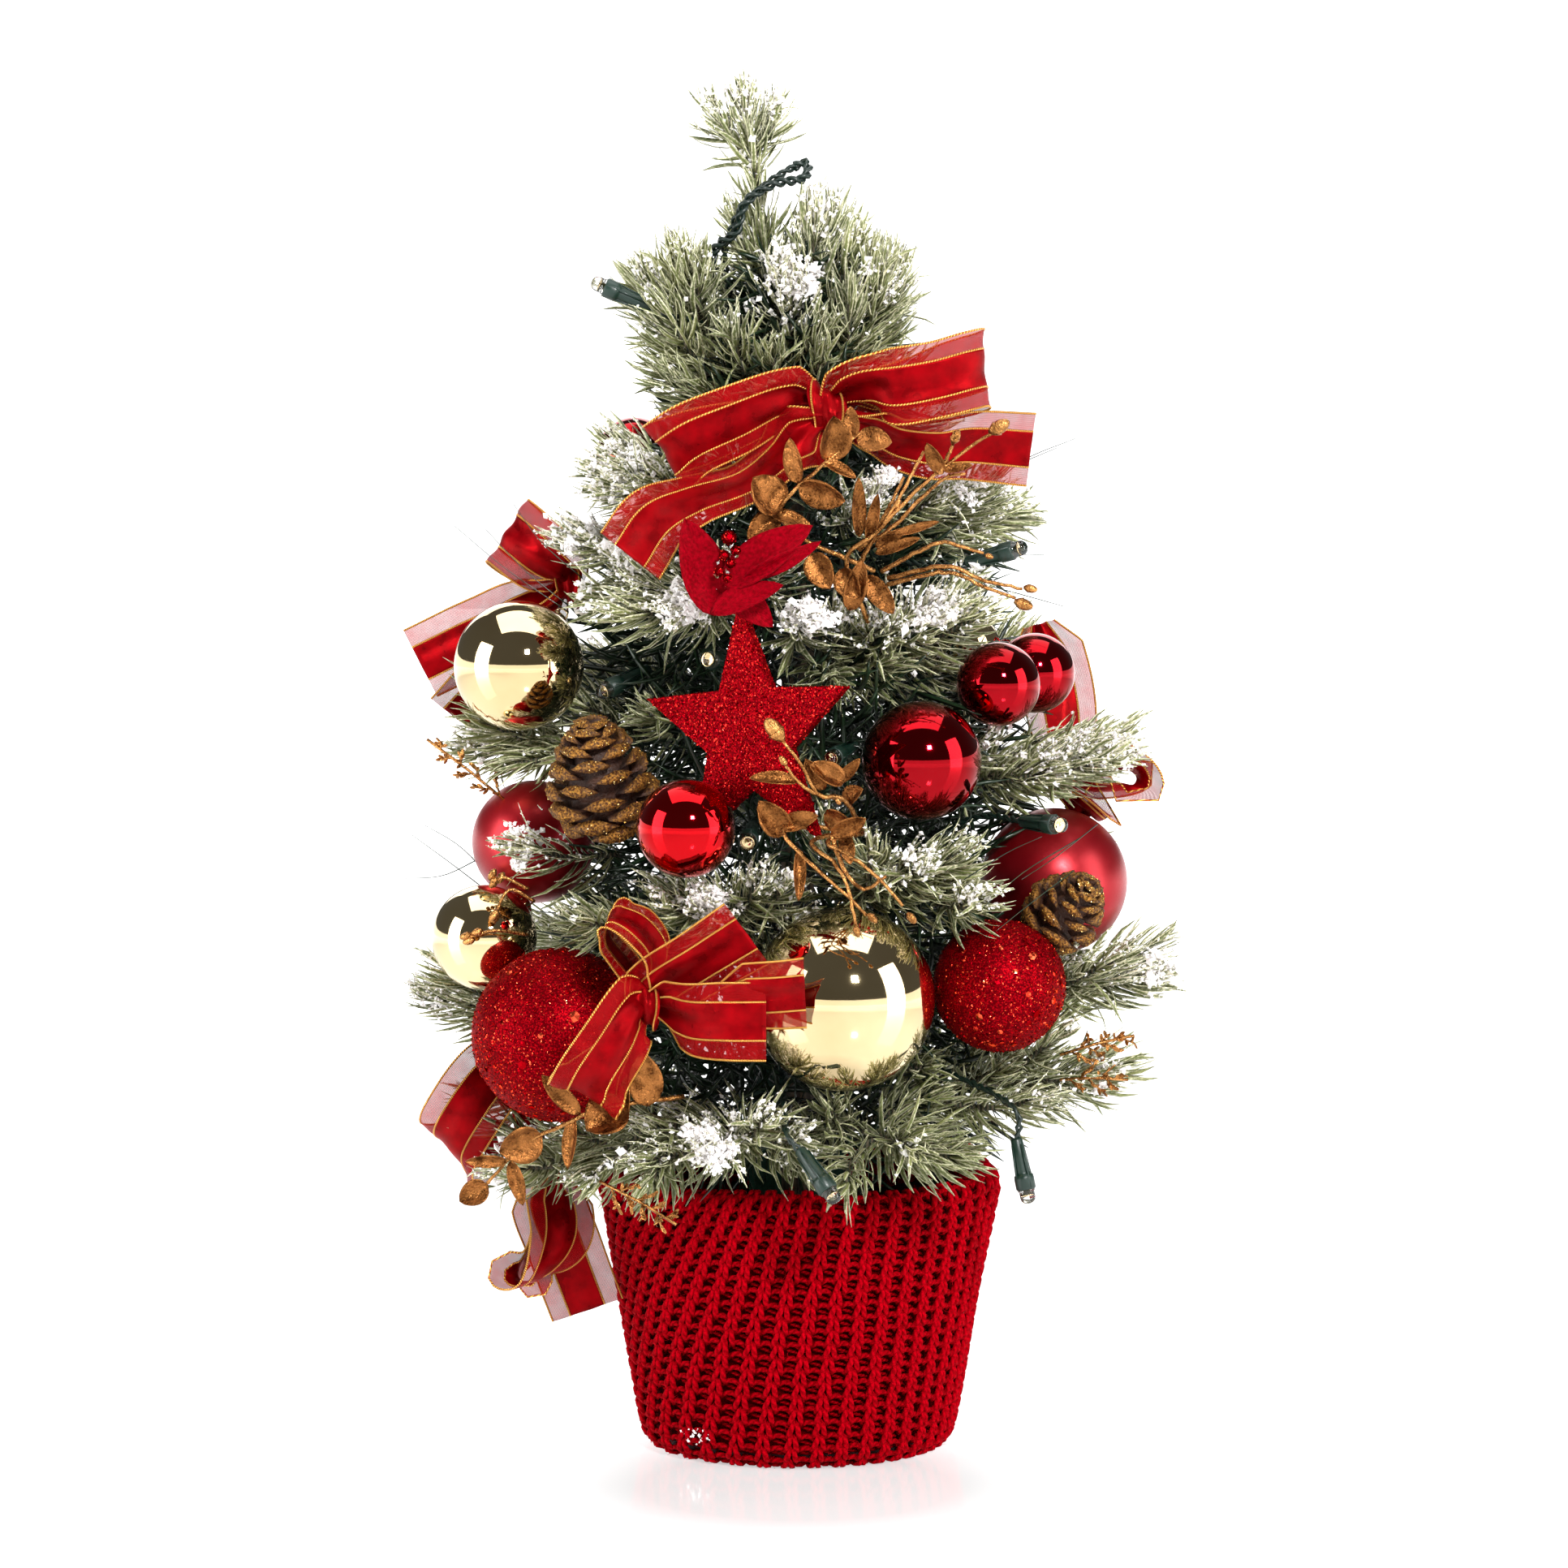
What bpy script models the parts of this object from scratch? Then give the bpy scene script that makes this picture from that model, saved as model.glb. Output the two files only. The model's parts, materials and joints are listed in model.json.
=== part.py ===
"""Artificial tabletop tree, 450 mm tall, in a knitted pot cover.

A turned wooden pole stands in a plaster-filled pot, inside a knitted cover. Wire-cored branches plug
into the pole. Baubles, cones, a star, bows, gilded sprays and a battery light string dress it.

Metres, +Z up. The origin is the middle of the flat base, and the dressed front faces -Y. Sizes below
are in millimetres, and MM turns them into metres where a shape is made. Places on the tree itself are
heights above the pot's rim: all of it hangs on one empty there.
"""

import math

import bmesh
import bpy
from mathutils import Matrix, Vector

MM = 0.001
GAP = 0.3  # clearance between pieces that touch

# Pot, cover and ballast
POT_HEIGHT = 88.0
POT_BASE_R = 50.0  # over the cover
POT_RIM_R = 66.0  # over the cover
POT_WALL = 1.6
KNIT = 4.0  # thickness of the knitted cover
KNIT_BASE = 2.0
KNIT_HEM = 14.0  # how far the cover folds down inside the rim
BALLAST_TOP = 60.0
POT_STEPS = 32

# Pole
POLE_R = 5.5
POLE_FOOT = 14.0
POLE_TOP = 250.0  # above the rim
SOCKET_DEPTH = 3.5

# Branches
WIRE_R = 1.2
TUBE_ROUND = 1  # how finely a branch, twig or cable is rounded
BEND_GAP = 1.5  # bare gap where a branch wire bends beside the pole
FOLIAGE_START = 0.45  # share of a branch that is bare wire
BRANCH_POINTS = 8

# Baubles
SHELL = 1.0
NECK_SHARE = 0.3  # neck opening's radius over the bauble's

# Ribbon and gilded sprays
LOBE_OVERLAP = 4.0  # how far a bow's lobe runs past its ends
TWIG_R = 0.9

# Battery box, two AA cells side by side
CELL_R = 7.1
CELL_LENGTH = 50.5
BOX_WALL = 1.6
BOX_ROOM = 0.5  # clearance round the cells
BOX_END = 6.0  # room for the contacts at each end
BOX_Y = 31.0
BOX_FOOT = BALLAST_TOP + GAP
BOX_TOP = BOX_FOOT + CELL_LENGTH + 2 * (BOX_WALL + BOX_END)
LID = 1.6
LID_LIP = 1.2  # how far the lid's edge runs under the rails
KNOB = (5.0, 3.0, 3.0)
KNOB_TRAVEL = 3.0

# Light string
CABLE_R = 1.0
LED_LENGTH = 17.0
LED_R = 3.0
COIL_R = 11.0  # the cable's winding round the pole
COIL_PITCH = 36.8
COIL_START = 90.0
COIL_LOW = 46.0
COIL_HIGH = POLE_TOP - 20

GREEN = ("foliage", (0.16, 0.24, 0.13), 0.7, 0.0)
BROWN = ("pole_wood", (0.16, 0.09, 0.05), 0.7, 0.0)
PLASTER = ("plaster", (0.75, 0.73, 0.68), 0.9, 0.0)
POT_BLACK = ("pot_plastic", (0.05, 0.05, 0.05), 0.5, 0.0)
KNIT_RED = ("knit_red", (0.6, 0.0, 0.03), 0.95, 0.0)
GOLD = ("gold_shine", (0.85, 0.68, 0.3), 0.08, 1.0)
RED_SHINE = ("red_shine", (0.6, 0.0, 0.02), 0.08, 0.8)
RED_MATTE = ("red_matte", (0.5, 0.01, 0.02), 0.4, 0.5)
RED_GLITTER = ("red_glitter", (0.55, 0.01, 0.02), 0.5, 0.6)
CONE_BROWN = ("cone_brown", (0.22, 0.11, 0.04), 0.7, 0.0)
GILT = ("gilt_spray", (0.5, 0.27, 0.08), 0.35, 0.8)
RIBBON = ("ribbon_red", (0.7, 0.0, 0.02), 0.35, 0.0)
PETAL = ("petal_red", (0.6, 0.01, 0.02), 0.6, 0.0)
CABLE_GREEN = ("cable_green", (0.01, 0.05, 0.03), 0.4, 0.0)
BOX_GREEN = ("box_green", (0.02, 0.06, 0.03), 0.45, 0.0)
CELL = ("cell_grey", (0.4, 0.4, 0.42), 0.35, 0.8)

# name, height of its root on the pole, tip, foliage radius, bends
BRANCHES = (
    ("branch_top_left", POLE_TOP - 12, (-49, -8, POLE_TOP + 56), 9, True),
    ("branch_top_right", POLE_TOP - 10, (31, -6, POLE_TOP + 66), 9, True),
    ("branch_upper_left", 208, (-66, -30, 230), 9, False),
    ("branch_upper_right", 212, (72, -14, 229), 8, False),
    ("branch_mid_front_left", 174, (-41, -90, 193), 9, False),
    ("branch_mid_front_right", 178, (48, -70, 198), 9, False),
    ("branch_mid_left", 140, (-116, -14, 143), 9, True),
    ("branch_mid_right", 130, (112, -30, 145), 9, True),
    ("branch_low_front", 84, (-32, -100, 103), 8, False),
    ("branch_low_front_right", 102, (42, -98, 118), 9, False),
    ("branch_low_right", 50, (124, -26, 72), 9, True),
    ("branch_low_left", 54, (-128, -20, 66), 8, True),
    ("branch_base_right", 30, (106, -52, 42), 9, False),
    ("branch_base_front_right", 24, (40, -108, 24), 10, False),
    ("branch_base_front_left", 20, (-30, -112, 26), 10, False),
    ("branch_base_left", 16, (-104, -58, 11), 9, False),
    ("branch_back_upper", 212, (4, 72, 242), 9, True),
    ("branch_back_mid_left", 152, (-74, 66, 174), 10, True),
    ("branch_back_mid_right", 148, (76, 64, 176), 10, True),
    ("branch_back_mid", 112, (4, 104, 134), 10, True),
    ("branch_back_low_left", 64, (-92, 76, 72), 10, True),
    ("branch_back_low_right", 60, (92, 76, 70), 10, True),
)

# name, middle, radius, where its neck points, finish
BAUBLES = (
    ("bauble_gold_large", (14, -88, 70), 29.0, (0, 0.6, 0.8), GOLD),
    ("bauble_glitter_left", (-76, -74, 57), 27.5, (0.3, 0.8, 0.5), RED_GLITTER),
    ("bauble_gold_low_left", (-101, -46, 85), 17.0, (0.6, 0.6, 0.5), GOLD),
    ("bauble_gold_upper_left", (-90, -36, 172), 21.0, (0.5, 0.6, 0.6), GOLD),
    ("bauble_matte_left", (-86, -24, 114), 20.0, (0.6, 0.6, 0.5), RED_MATTE),
    ("bauble_red_small_left", (-35, -101, 125), 15.5, (0.2, 0.8, 0.5), RED_SHINE),
    ("bauble_red_mid", (39, -72, 144), 19.0, (-0.2, 0.8, 0.5), RED_SHINE),
    ("bauble_red_right_front", (64, -52, 167), 13.5, (-0.5, 0.7, 0.5), RED_SHINE),
    ("bauble_red_right_back", (77, -24, 169), 13.0, (-0.7, 0.5, 0.5), RED_SHINE),
    ("bauble_gold_upper_right", (54, -10, 176), 12.5, (-0.6, 0.6, 0.5), GOLD),
    ("bauble_matte_right", (84, -12, 100), 24.0, (-0.5, 0.6, 0.6), RED_MATTE),
    ("bauble_glitter_right", (64, -68, 72), 21.0, (-0.3, 0.8, 0.5), RED_GLITTER),
    ("bauble_red_upper_left", (-54, 14, 239), 12.5, (0.6, 0.5, 0.6), RED_SHINE),
)


def clear_scene():
    for obj in list(bpy.data.objects):
        bpy.data.objects.remove(obj, do_unlink=True)


def collection(name):
    made = bpy.data.collections.new(name)
    bpy.context.scene.collection.children.link(made)
    return made


def material(finish):
    """The Principled material of one finish, made the first time it is asked for."""
    name, colour, roughness, metallic = finish
    if name in bpy.data.materials:
        return bpy.data.materials[name]
    made = bpy.data.materials.new(name)
    made.use_nodes = True
    shader = made.node_tree.nodes["Principled BSDF"]
    shader.inputs["Base Color"].default_value = (*colour, 1.0)
    shader.inputs["Roughness"].default_value = roughness
    shader.inputs["Metallic"].default_value = metallic
    return made


def link(obj, finish=None):
    """Files an object with the tree's pieces, or with the cutters if it has no finish."""
    if finish is None:
        CUTTERS.objects.link(obj)
        obj.hide_render = True
        obj.display_type = "WIRE"
    else:
        TREE.objects.link(obj)
        obj.data.materials.append(material(finish))
    return obj


def metres(point):
    return Vector(point) * MM


def mesh_object(name, bm, finish=None, smooth=True):
    mesh = bpy.data.meshes.new(name)
    bm.to_mesh(mesh)
    bm.free()
    if smooth:
        mesh.shade_smooth()
    return link(bpy.data.objects.new(name, mesh), finish)


def turned(name, profile, finish=None, steps=POT_STEPS):
    """A turned piece from its outline of (radius, height), down its outer side and back up its inner."""
    mesh = bpy.data.meshes.new(name)
    points = [(r * MM, 0, z * MM) for r, z in profile]
    edges = [(i, i + 1) for i in range(len(points) - 1)]
    if profile[0][0] > 0:
        edges.append((len(points) - 1, 0))
    mesh.from_pydata(points, edges, [])
    made = link(bpy.data.objects.new(name, mesh), finish)
    screw = made.modifiers.new("turn", "SCREW")
    screw.axis = "Z"
    screw.steps = steps
    screw.render_steps = steps
    screw.use_merge_vertices = True
    screw.merge_threshold = 0.00001
    screw.use_smooth_shade = True
    return made


def tube(name, points, radii, finish):
    """A round tube through points, with a radius at each, capped at both ends. Its origin is its first point."""
    curve = bpy.data.curves.new(name, "CURVE")
    curve.dimensions = "3D"
    curve.bevel_depth = MM
    curve.bevel_resolution = TUBE_ROUND
    curve.use_fill_caps = True
    spline = curve.splines.new("POLY")
    spline.points.add(len(points) - 1)
    for spot, place, radius in zip(spline.points, points, radii):
        spot.co = (*metres(Vector(place) - Vector(points[0])), 1.0)
        spot.radius = radius
    made = bpy.data.objects.new(name, curve)
    made.location = metres(points[0])
    TREE.objects.link(made)
    curve.materials.append(material(finish))
    return made


def as_mesh(curve_object):
    """The curve object again as a closed mesh among the cutters, which a Boolean can take."""
    bpy.context.view_layer.update()
    graph = bpy.context.evaluated_depsgraph_get()
    mesh = bpy.data.meshes.new_from_object(curve_object.evaluated_get(graph))
    bm = bmesh.new()
    bm.from_mesh(mesh)
    bmesh.ops.remove_doubles(bm, verts=bm.verts, dist=0.00001)
    bm.to_mesh(mesh)
    bm.free()
    mesh.materials.clear()
    name = curve_object.name
    matrix = curve_object.matrix_world.copy()
    bpy.data.objects.remove(curve_object, do_unlink=True)
    made = bpy.data.objects.new(name, mesh)
    made.matrix_world = matrix
    return link(made)


def boolean(obj, other, operation):
    cut = obj.modifiers.new(operation.lower(), "BOOLEAN")
    cut.operation = operation
    cut.object = other
    cut.solver = "EXACT"
    return obj


def stem(points, radius):
    """A thin twig or cable stretch, as a helper mesh for a union."""
    return as_mesh(tube("helper_stem", points, [radius] * len(points), GREEN))


def blob(middle, size, along=(0, 0, 1), segments=8, rings=6):
    """A helper ellipsoid: size is its half-lengths across, through and along the direction."""
    bm = bmesh.new()
    bmesh.ops.create_uvsphere(bm, u_segments=segments, v_segments=rings, radius=1.0)
    bmesh.ops.scale(bm, verts=bm.verts, vec=metres(size))
    made = mesh_object("helper_blob", bm)
    turn = Vector(along).to_track_quat("Z", "Y").to_matrix().to_4x4()
    made.matrix_world = Matrix.Translation(metres(middle)) @ turn
    return made


def fused(name, pieces, finish):
    """The first piece with the others joined to it."""
    whole = pieces[0]
    CUTTERS.objects.unlink(whole)
    TREE.objects.link(whole)
    whole.name = name
    whole.hide_render = False
    whole.display_type = "TEXTURED"
    whole.data.materials.append(material(finish))
    for piece in pieces[1:]:
        boolean(whole, piece, "UNION")
    return whole


def box(name, low, high, finish=None):
    """A box between two corners."""
    low, high = metres(low), metres(high)
    bm = bmesh.new()
    bmesh.ops.create_cube(bm, size=1.0)
    bmesh.ops.scale(bm, verts=bm.verts, vec=high - low)
    made = mesh_object(name, bm, finish, smooth=False)
    made.location = (low + high) / 2
    return made


def cover_r(z):
    """The cover's outer radius at a height."""
    return POT_BASE_R + (POT_RIM_R - POT_BASE_R) * z / POT_HEIGHT


def pot_r(z):
    """The pot's outer radius at a height, a clearance inside the cover."""
    return cover_r(z) - KNIT - GAP


def make_pot():
    """The cover, the pot in it and the ballast in that."""
    rim = POT_HEIGHT - KNIT / 2  # the pot's own rim
    foot = KNIT_BASE + GAP
    inside = POT_WALL + GAP  # from the pot's outside to the hem's
    hem_low = rim - KNIT_HEM
    turned(
        "knit_cover",
        (
            (pot_r(rim) - inside - KNIT * 0.7, hem_low + 1),
            (pot_r(rim) - inside - KNIT * 0.8, rim),
            (pot_r(rim) - 1, rim + GAP + KNIT),
            (cover_r(rim) - 1, rim + GAP + KNIT * 0.7),
            (cover_r(rim), rim - 1),
            (cover_r(POT_HEIGHT / 2), POT_HEIGHT / 2),
            (cover_r(6), 6),
            (POT_BASE_R - 3, 0.6),
            (POT_BASE_R - 6, 0),
            (0, 0),
            (0, KNIT_BASE),
            (pot_r(foot) + GAP, KNIT_BASE),
            (pot_r(rim) + GAP, rim),
            (pot_r(rim) + GAP / 2, rim + GAP),
            (pot_r(rim) - inside, rim + GAP),
            (pot_r(hem_low) - inside, hem_low),
        ),
        KNIT_RED,
    )
    turned(
        "pot",
        (
            (pot_r(rim) - POT_WALL, rim),
            (pot_r(rim), rim),
            (pot_r(foot), foot),
            (0, foot),
            (0, foot + POT_WALL),
            (pot_r(foot + POT_WALL) - POT_WALL, foot + POT_WALL),
        ),
        POT_BLACK,
    )
    low = foot + POT_WALL + GAP
    seat = POT_WALL + GAP
    plug = turned(
        "ballast",
        (
            (0, BALLAST_TOP),
            (pot_r(BALLAST_TOP) - seat, BALLAST_TOP),
            (pot_r(low) - seat, low),
            (0, low),
        ),
        PLASTER,
    )
    boolean(plug, post("helper_pole_hole", POLE_R + GAP, POLE_FOOT - GAP, BALLAST_TOP + 10), "DIFFERENCE")


def post(name, radius, low, high, finish=None, segments=16):
    """An upright cylinder on the pole's axis."""
    bm = bmesh.new()
    bmesh.ops.create_cone(
        bm, cap_ends=True, segments=segments, radius1=radius * MM, radius2=radius * MM, depth=(high - low) * MM
    )
    made = mesh_object(name, bm, finish, smooth=False)
    made.location = (0, 0, (low + high) / 2 * MM)
    return made


def between_turns(height, tip):
    """The height nearest the one wanted that is midway between two turns of the cable on the tip's side."""
    if not COIL_LOW < height < COIL_HIGH:
        return height
    side = math.degrees(math.atan2(tip[1], tip[0])) - COIL_START
    middle = COIL_LOW + COIL_PITCH * (side / 360 + 0.5)
    return middle + COIL_PITCH * round((height - middle) / COIL_PITCH)


def branch_line(root_z, tip, start_r):
    """Points from beside the pole out to the tip, leaving level and curving up or down to it."""
    tip = Vector(tip)
    out = Vector((tip.x, tip.y, 0)).normalized()
    root = out * start_r + Vector((0, 0, root_z))
    reach = Vector((tip.x, tip.y, 0)).length
    shoulder = out * reach * 0.55 + Vector((0, 0, root_z + (tip.z - root_z) * 0.35))
    line = []
    for i in range(BRANCH_POINTS):
        t = i / (BRANCH_POINTS - 1)
        line.append(root * (1 - t) ** 2 + shoulder * 2 * t * (1 - t) + tip * t**2)
    return line


def foliage_radii(radius):
    """The branch's radius along its length: bare wire, then a spindle of needles that narrows at the tip."""
    radii = []
    for i in range(BRANCH_POINTS):
        t = i / (BRANCH_POINTS - 1)
        u = (t - FOLIAGE_START) / (1 - FOLIAGE_START)
        if u <= 0:
            radii.append(WIRE_R)
        else:
            radii.append(max(WIRE_R, radius * math.sin(math.pi * min(1.0, 0.12 + 0.72 * u)) ** 0.7))
    return radii


def make_branches(pole):
    """The branches, in their sockets in the pole or at their bends beside it."""
    for name, root_z, tip, radius, bends in BRANCHES:
        start = POLE_R + BEND_GAP if bends else POLE_R - SOCKET_DEPTH + GAP
        line = branch_line(between_turns(root_z, tip), tip, start)
        tube(name, line, foliage_radii(radius), GREEN)
        if not bends:
            out = Vector((tip[0], tip[1], 0)).normalized()
            ends = [line[0] - out * GAP, line[0] - out * GAP + (line[1] - line[0]).normalized() * 12]
            boolean(pole, stem(ends, WIRE_R + GAP), "DIFFERENCE")


def make_leader():
    """The leader continues the pole, and its tip bends above the light string's last turn."""
    root = Vector((0, 0, POLE_TOP + GAP))
    belly = [Vector((-5, -2, POLE_TOP + 22)), Vector((-10, -3, POLE_TOP + 50))]
    line = [root, root + Vector((0, 0, 3)), *belly, LEADER_TOP]
    tube("leader", line, (3.0, 3.5, 7.5, 7.5, 3.0), GREEN)
    bend = LEADER_TOP + Vector((-0.5, 0, LEADER_GAP))
    tip = [bend, Vector((-16, -3, POLE_TOP + 96)), Vector((-18, -2, POLE_TOP + 111))]
    tube("leader_tip", tip, (1.5, 8.0, 2.5), GREEN)


def make_bauble(name, middle, radius, neck, finish):
    """A thin blown shell, open at its neck."""
    bm = bmesh.new()
    bmesh.ops.create_uvsphere(bm, u_segments=12, v_segments=8, radius=radius * MM)
    crown = [v for v in bm.verts if v.co.z > radius * MM * math.cos(math.asin(NECK_SHARE)) * 0.99]
    bmesh.ops.delete(bm, geom=crown, context="VERTS")
    made = mesh_object(name, bm, finish)
    shell = made.modifiers.new("shell", "SOLIDIFY")
    shell.thickness = SHELL * MM
    shell.offset = -1
    made.location = metres(middle)
    made.rotation_mode = "QUATERNION"
    made.rotation_quaternion = Vector(neck).to_track_quat("Z", "Y")
    return made


def make_cone(name, middle, length, radius, along):
    """A pine cone as a turned egg, stepped by its rows of scales."""
    rows = 5
    profile = [(0, length / 2)]
    for i in range(rows):
        t = (i + 0.5) / rows
        swell = radius * math.sin(math.pi * (0.15 + 0.8 * t)) ** 0.6
        profile.append((swell * 0.86, length * (0.5 - t * 0.96)))
        profile.append((swell, length * (0.47 - t * 0.96)))
    profile.append((0, -length / 2))
    made = turned(name, profile, CONE_BROWN, steps=12)
    made.location = metres(middle)
    made.rotation_mode = "QUATERNION"
    made.rotation_quaternion = Vector(along).to_track_quat("Z", "Y")


def star_outline(points, outer, inner):
    """The corners of a star in its own plane, the first one up."""
    corners = []
    for i in range(points * 2):
        angle = math.pi / 2 + math.pi * i / points
        r = outer if i % 2 == 0 else inner
        corners.append((r * math.cos(angle), r * math.sin(angle)))
    return corners


def plate(name, corners, thickness, finish):
    """A flat outline with a thickness, standing in the XZ plane."""
    curve = bpy.data.curves.new(name, "CURVE")
    curve.dimensions = "2D"
    curve.fill_mode = "BOTH"
    curve.extrude = thickness / 2 * MM
    spline = curve.splines.new("POLY")
    spline.points.add(len(corners) - 1)
    spline.use_cyclic_u = True
    for spot, (x, y) in zip(spline.points, corners):
        spot.co = (x * MM, y * MM, 0, 1)
    made = bpy.data.objects.new(name, curve)
    TREE.objects.link(made)
    curve.materials.append(material(finish))
    made.rotation_euler = (math.pi / 2, 0, 0)
    return made


def make_star_and_flower():
    star = plate("star", star_outline(5, STAR_R, STAR_R * 0.42), STAR_THICK, RED_GLITTER)
    star.location = metres(STAR_AT)
    star.rotation_euler = (math.radians(90), math.radians(-5), math.radians(-37))
    flower = plate("poinsettia", star_outline(6, 21, 11), 5, PETAL)
    flower.location = metres((-24, -93, 211))
    flower.rotation_euler = (math.radians(75), 0, math.radians(-14))


def make_bow(name, knot, lobes):
    """A bow as one soft body: its knot, and a flattened lobe from it along each loop and tail."""
    pieces = [blob(knot, (7, 6, 8))]
    for start, end, half_width, half_thickness in lobes:
        start, end = Vector(start), Vector(end)
        along = end - start
        size = (half_width, half_thickness, along.length / 2 + LOBE_OVERLAP)
        pieces.append(blob((start + end) / 2, size, along))
    return fused(name, pieces, RIBBON)


def make_bows():
    knot = (12, -66, 255)
    make_bow(
        "bow_top",
        knot,
        (
            (knot, (-38, -70, 242), 13, 6),
            ((-22, -70, 240), (-58, -74, 212), 9, 4),
            (knot, (54, -62, 270), 13, 6),
            (knot, (76, -57, 242), 12, 4),
        ),
    )
    knot = (-80, 6, 198)
    make_bow("bow_left", knot, ((knot, (-92, 4, 218), 8, 6), (knot, (-124, 12, 174), 13, 4)))
    knot = (-47, -103, 76)
    make_bow(
        "bow_front",
        knot,
        (
            (knot, (-55, -98, 96), 9, 6),
            (knot, (-64, -110, 50), 8, 4),
            (knot, (-16, -114, 92), 9, 3),
            (knot, (-2, -121, 62), 11, 3),
        ),
    )
    knot = (-99, -14, 24)
    make_bow(
        "bow_low_left",
        knot,
        ((knot, (-108, -16, 42), 10, 7), (knot, (-87, -14, -4), 9, 6), ((-87, -14, 0), (-74, -14, -34), 13, 4)),
    )
    knot = (99, 14, 150)
    make_bow(
        "bow_right",
        knot,
        ((knot, (92, 16, 176), 11, 4), (knot, (111, 12, 137), 9, 6), (knot, (92, 12, 134), 9, 5)),
    )


def make_spray(name, foot, twigs):
    """Gilded twigs from one foot. Each later point of a twig carries a leaf or a berry of the size given."""
    pieces = []
    for heads in twigs:
        pieces.append(stem([foot] + [place for place, size in heads], TWIG_R))
        before = Vector(foot)
        for place, size in heads:
            pieces.append(blob(place, size, Vector(place) - before, segments=6, rings=4))
            before = Vector(place)
    return fused(name, pieces, GILT)


def make_sprays():
    make_spray(
        "spray_leaves_top",
        (24, -72, 204),
        ((((12, -85, 224), (7, 2, 8)), ((16, -91, 242), (6, 2, 8))), (((-6, -80, 234), (6, 2, 7)),)),
    )
    make_spray(
        "spray_berries_right",
        (26, -78, 192),
        (
            (((44, -92, 212), (5, 3, 11)), ((70, -98, 242), (3, 3, 4))),
            (((56, -90, 200), (3, 2, 8)), ((82, -94, 174), (3, 3, 4))),
        ),
    )
    make_spray(
        "spray_berries_front",
        (20, -92, 123),
        (
            (((11, -116, 134), (3, 3, 9)), ((-9, -117, 159), (3, 3, 4))),
            (((25, -116, 115), (3, 2, 8)), ((36, -124, 99), (3, 3, 4))),
        ),
    )
    make_spray(
        "spray_leaves_low",
        (-36, -92, 40),
        ((((-61, -105, 31), (8, 2, 9)), ((-86, -94, 20), (8, 2, 8)), ((-99, -84, 8), (6, 2, 7))),),
    )


def make_light_string():
    """The cable's winding round the pole, its run up the leader, and a socket lead to each lamp."""
    coil = []
    turns = (COIL_HIGH - COIL_LOW) / COIL_PITCH
    steps = round(turns * 10)
    for i in range(steps + 1):
        angle = math.radians(COIL_START + 360 * turns * i / steps)
        height = COIL_LOW + (COIL_HIGH - COIL_LOW) * i / steps
        coil.append(Vector((COIL_R * math.cos(angle), COIL_R * math.sin(angle), height)))
    outlet = BOX_TOP - POT_HEIGHT
    foot = [Vector((8, BOX_Y, outlet + GAP)), Vector((8, BOX_Y, outlet + 6)), Vector((5, 20, outlet + 6))]
    pieces = [stem(foot + coil + [Vector(p) for p in CABLE_TOP], CABLE_R)]
    for bulb, knee in LAMPS:
        bulb, knee = Vector(bulb), Vector(knee)
        start = min(coil, key=lambda p: (p - knee).length)
        out = (bulb - knee).normalized()
        neck = bulb - out * LED_LENGTH
        pieces.append(stem([start, knee, neck + out * 2], CABLE_R))
        pieces.append(stem([neck, bulb], LED_R))
    fused("light_string", pieces, CABLE_GREEN)


def make_battery_box():
    """A box for two cells standing behind the pole, open at its back for the sliding lid."""
    half_x = 2 * CELL_R + BOX_ROOM + BOX_WALL
    half_y = CELL_R + BOX_ROOM / 2 + BOX_WALL
    low, high = BOX_FOOT, BOX_TOP
    shell = box("battery_box", (-half_x, BOX_Y - half_y, low), (half_x, BOX_Y + half_y + LID + GAP, high), BOX_GREEN)
    back = BOX_Y + half_y + LID + GAP
    inner_x = half_x - BOX_WALL
    bay_high = high - BOX_WALL
    bay = box(
        "helper_bay", (-inner_x, BOX_Y - half_y + BOX_WALL, low + BOX_WALL), (inner_x, back + 1, bay_high)
    )
    boolean(shell, bay, "DIFFERENCE")
    slot_x = inner_x + LID_LIP / 2
    lid_y = back - LID - GAP
    slot = box("helper_slot", (-slot_x, lid_y - GAP, low + BOX_WALL), (slot_x, back - GAP / 2, high + 1))
    boolean(shell, slot, "DIFFERENCE")
    box(
        "battery_lid",
        (-slot_x + GAP, lid_y, low + BOX_WALL + GAP),
        (slot_x - GAP, lid_y + LID - GAP / 2, high),
        BOX_GREEN,
    )
    for side in (-1, 1):
        cell = post("battery_left" if side < 0 else "battery_right", CELL_R, 0, CELL_LENGTH, CELL, segments=12)
        cell.location = metres((side * (CELL_R + BOX_ROOM / 4), BOX_Y, low + BOX_WALL + BOX_END + CELL_LENGTH / 2))
    width, depth, height = KNOB
    box(
        "switch_knob",
        (-width / 2 - 6, BOX_Y - depth / 2, high + GAP),
        (width / 2 - 6, BOX_Y + depth / 2, high + GAP + height),
        POT_BLACK,
    )


LEADER_TOP = Vector((-14, -3, POLE_TOP + 78))
LEADER_GAP = 1.5
STAR_R = 41.0
STAR_THICK = 3.0
STAR_AT = (-15, -92, 154)
CABLE_TOP = (
    (-12, 10, POLE_TOP - 3),
    (-14, 10, POLE_TOP + 14),
    (-20, 6, POLE_TOP + 34),
    (-24, -4, POLE_TOP + 52),
    (-22, -10, POLE_TOP + 62),
    (-17, -13, POLE_TOP + 71),
    (-9, -14, POLE_TOP + 78),
    (-1, -9, POLE_TOP + 83),
)
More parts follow.
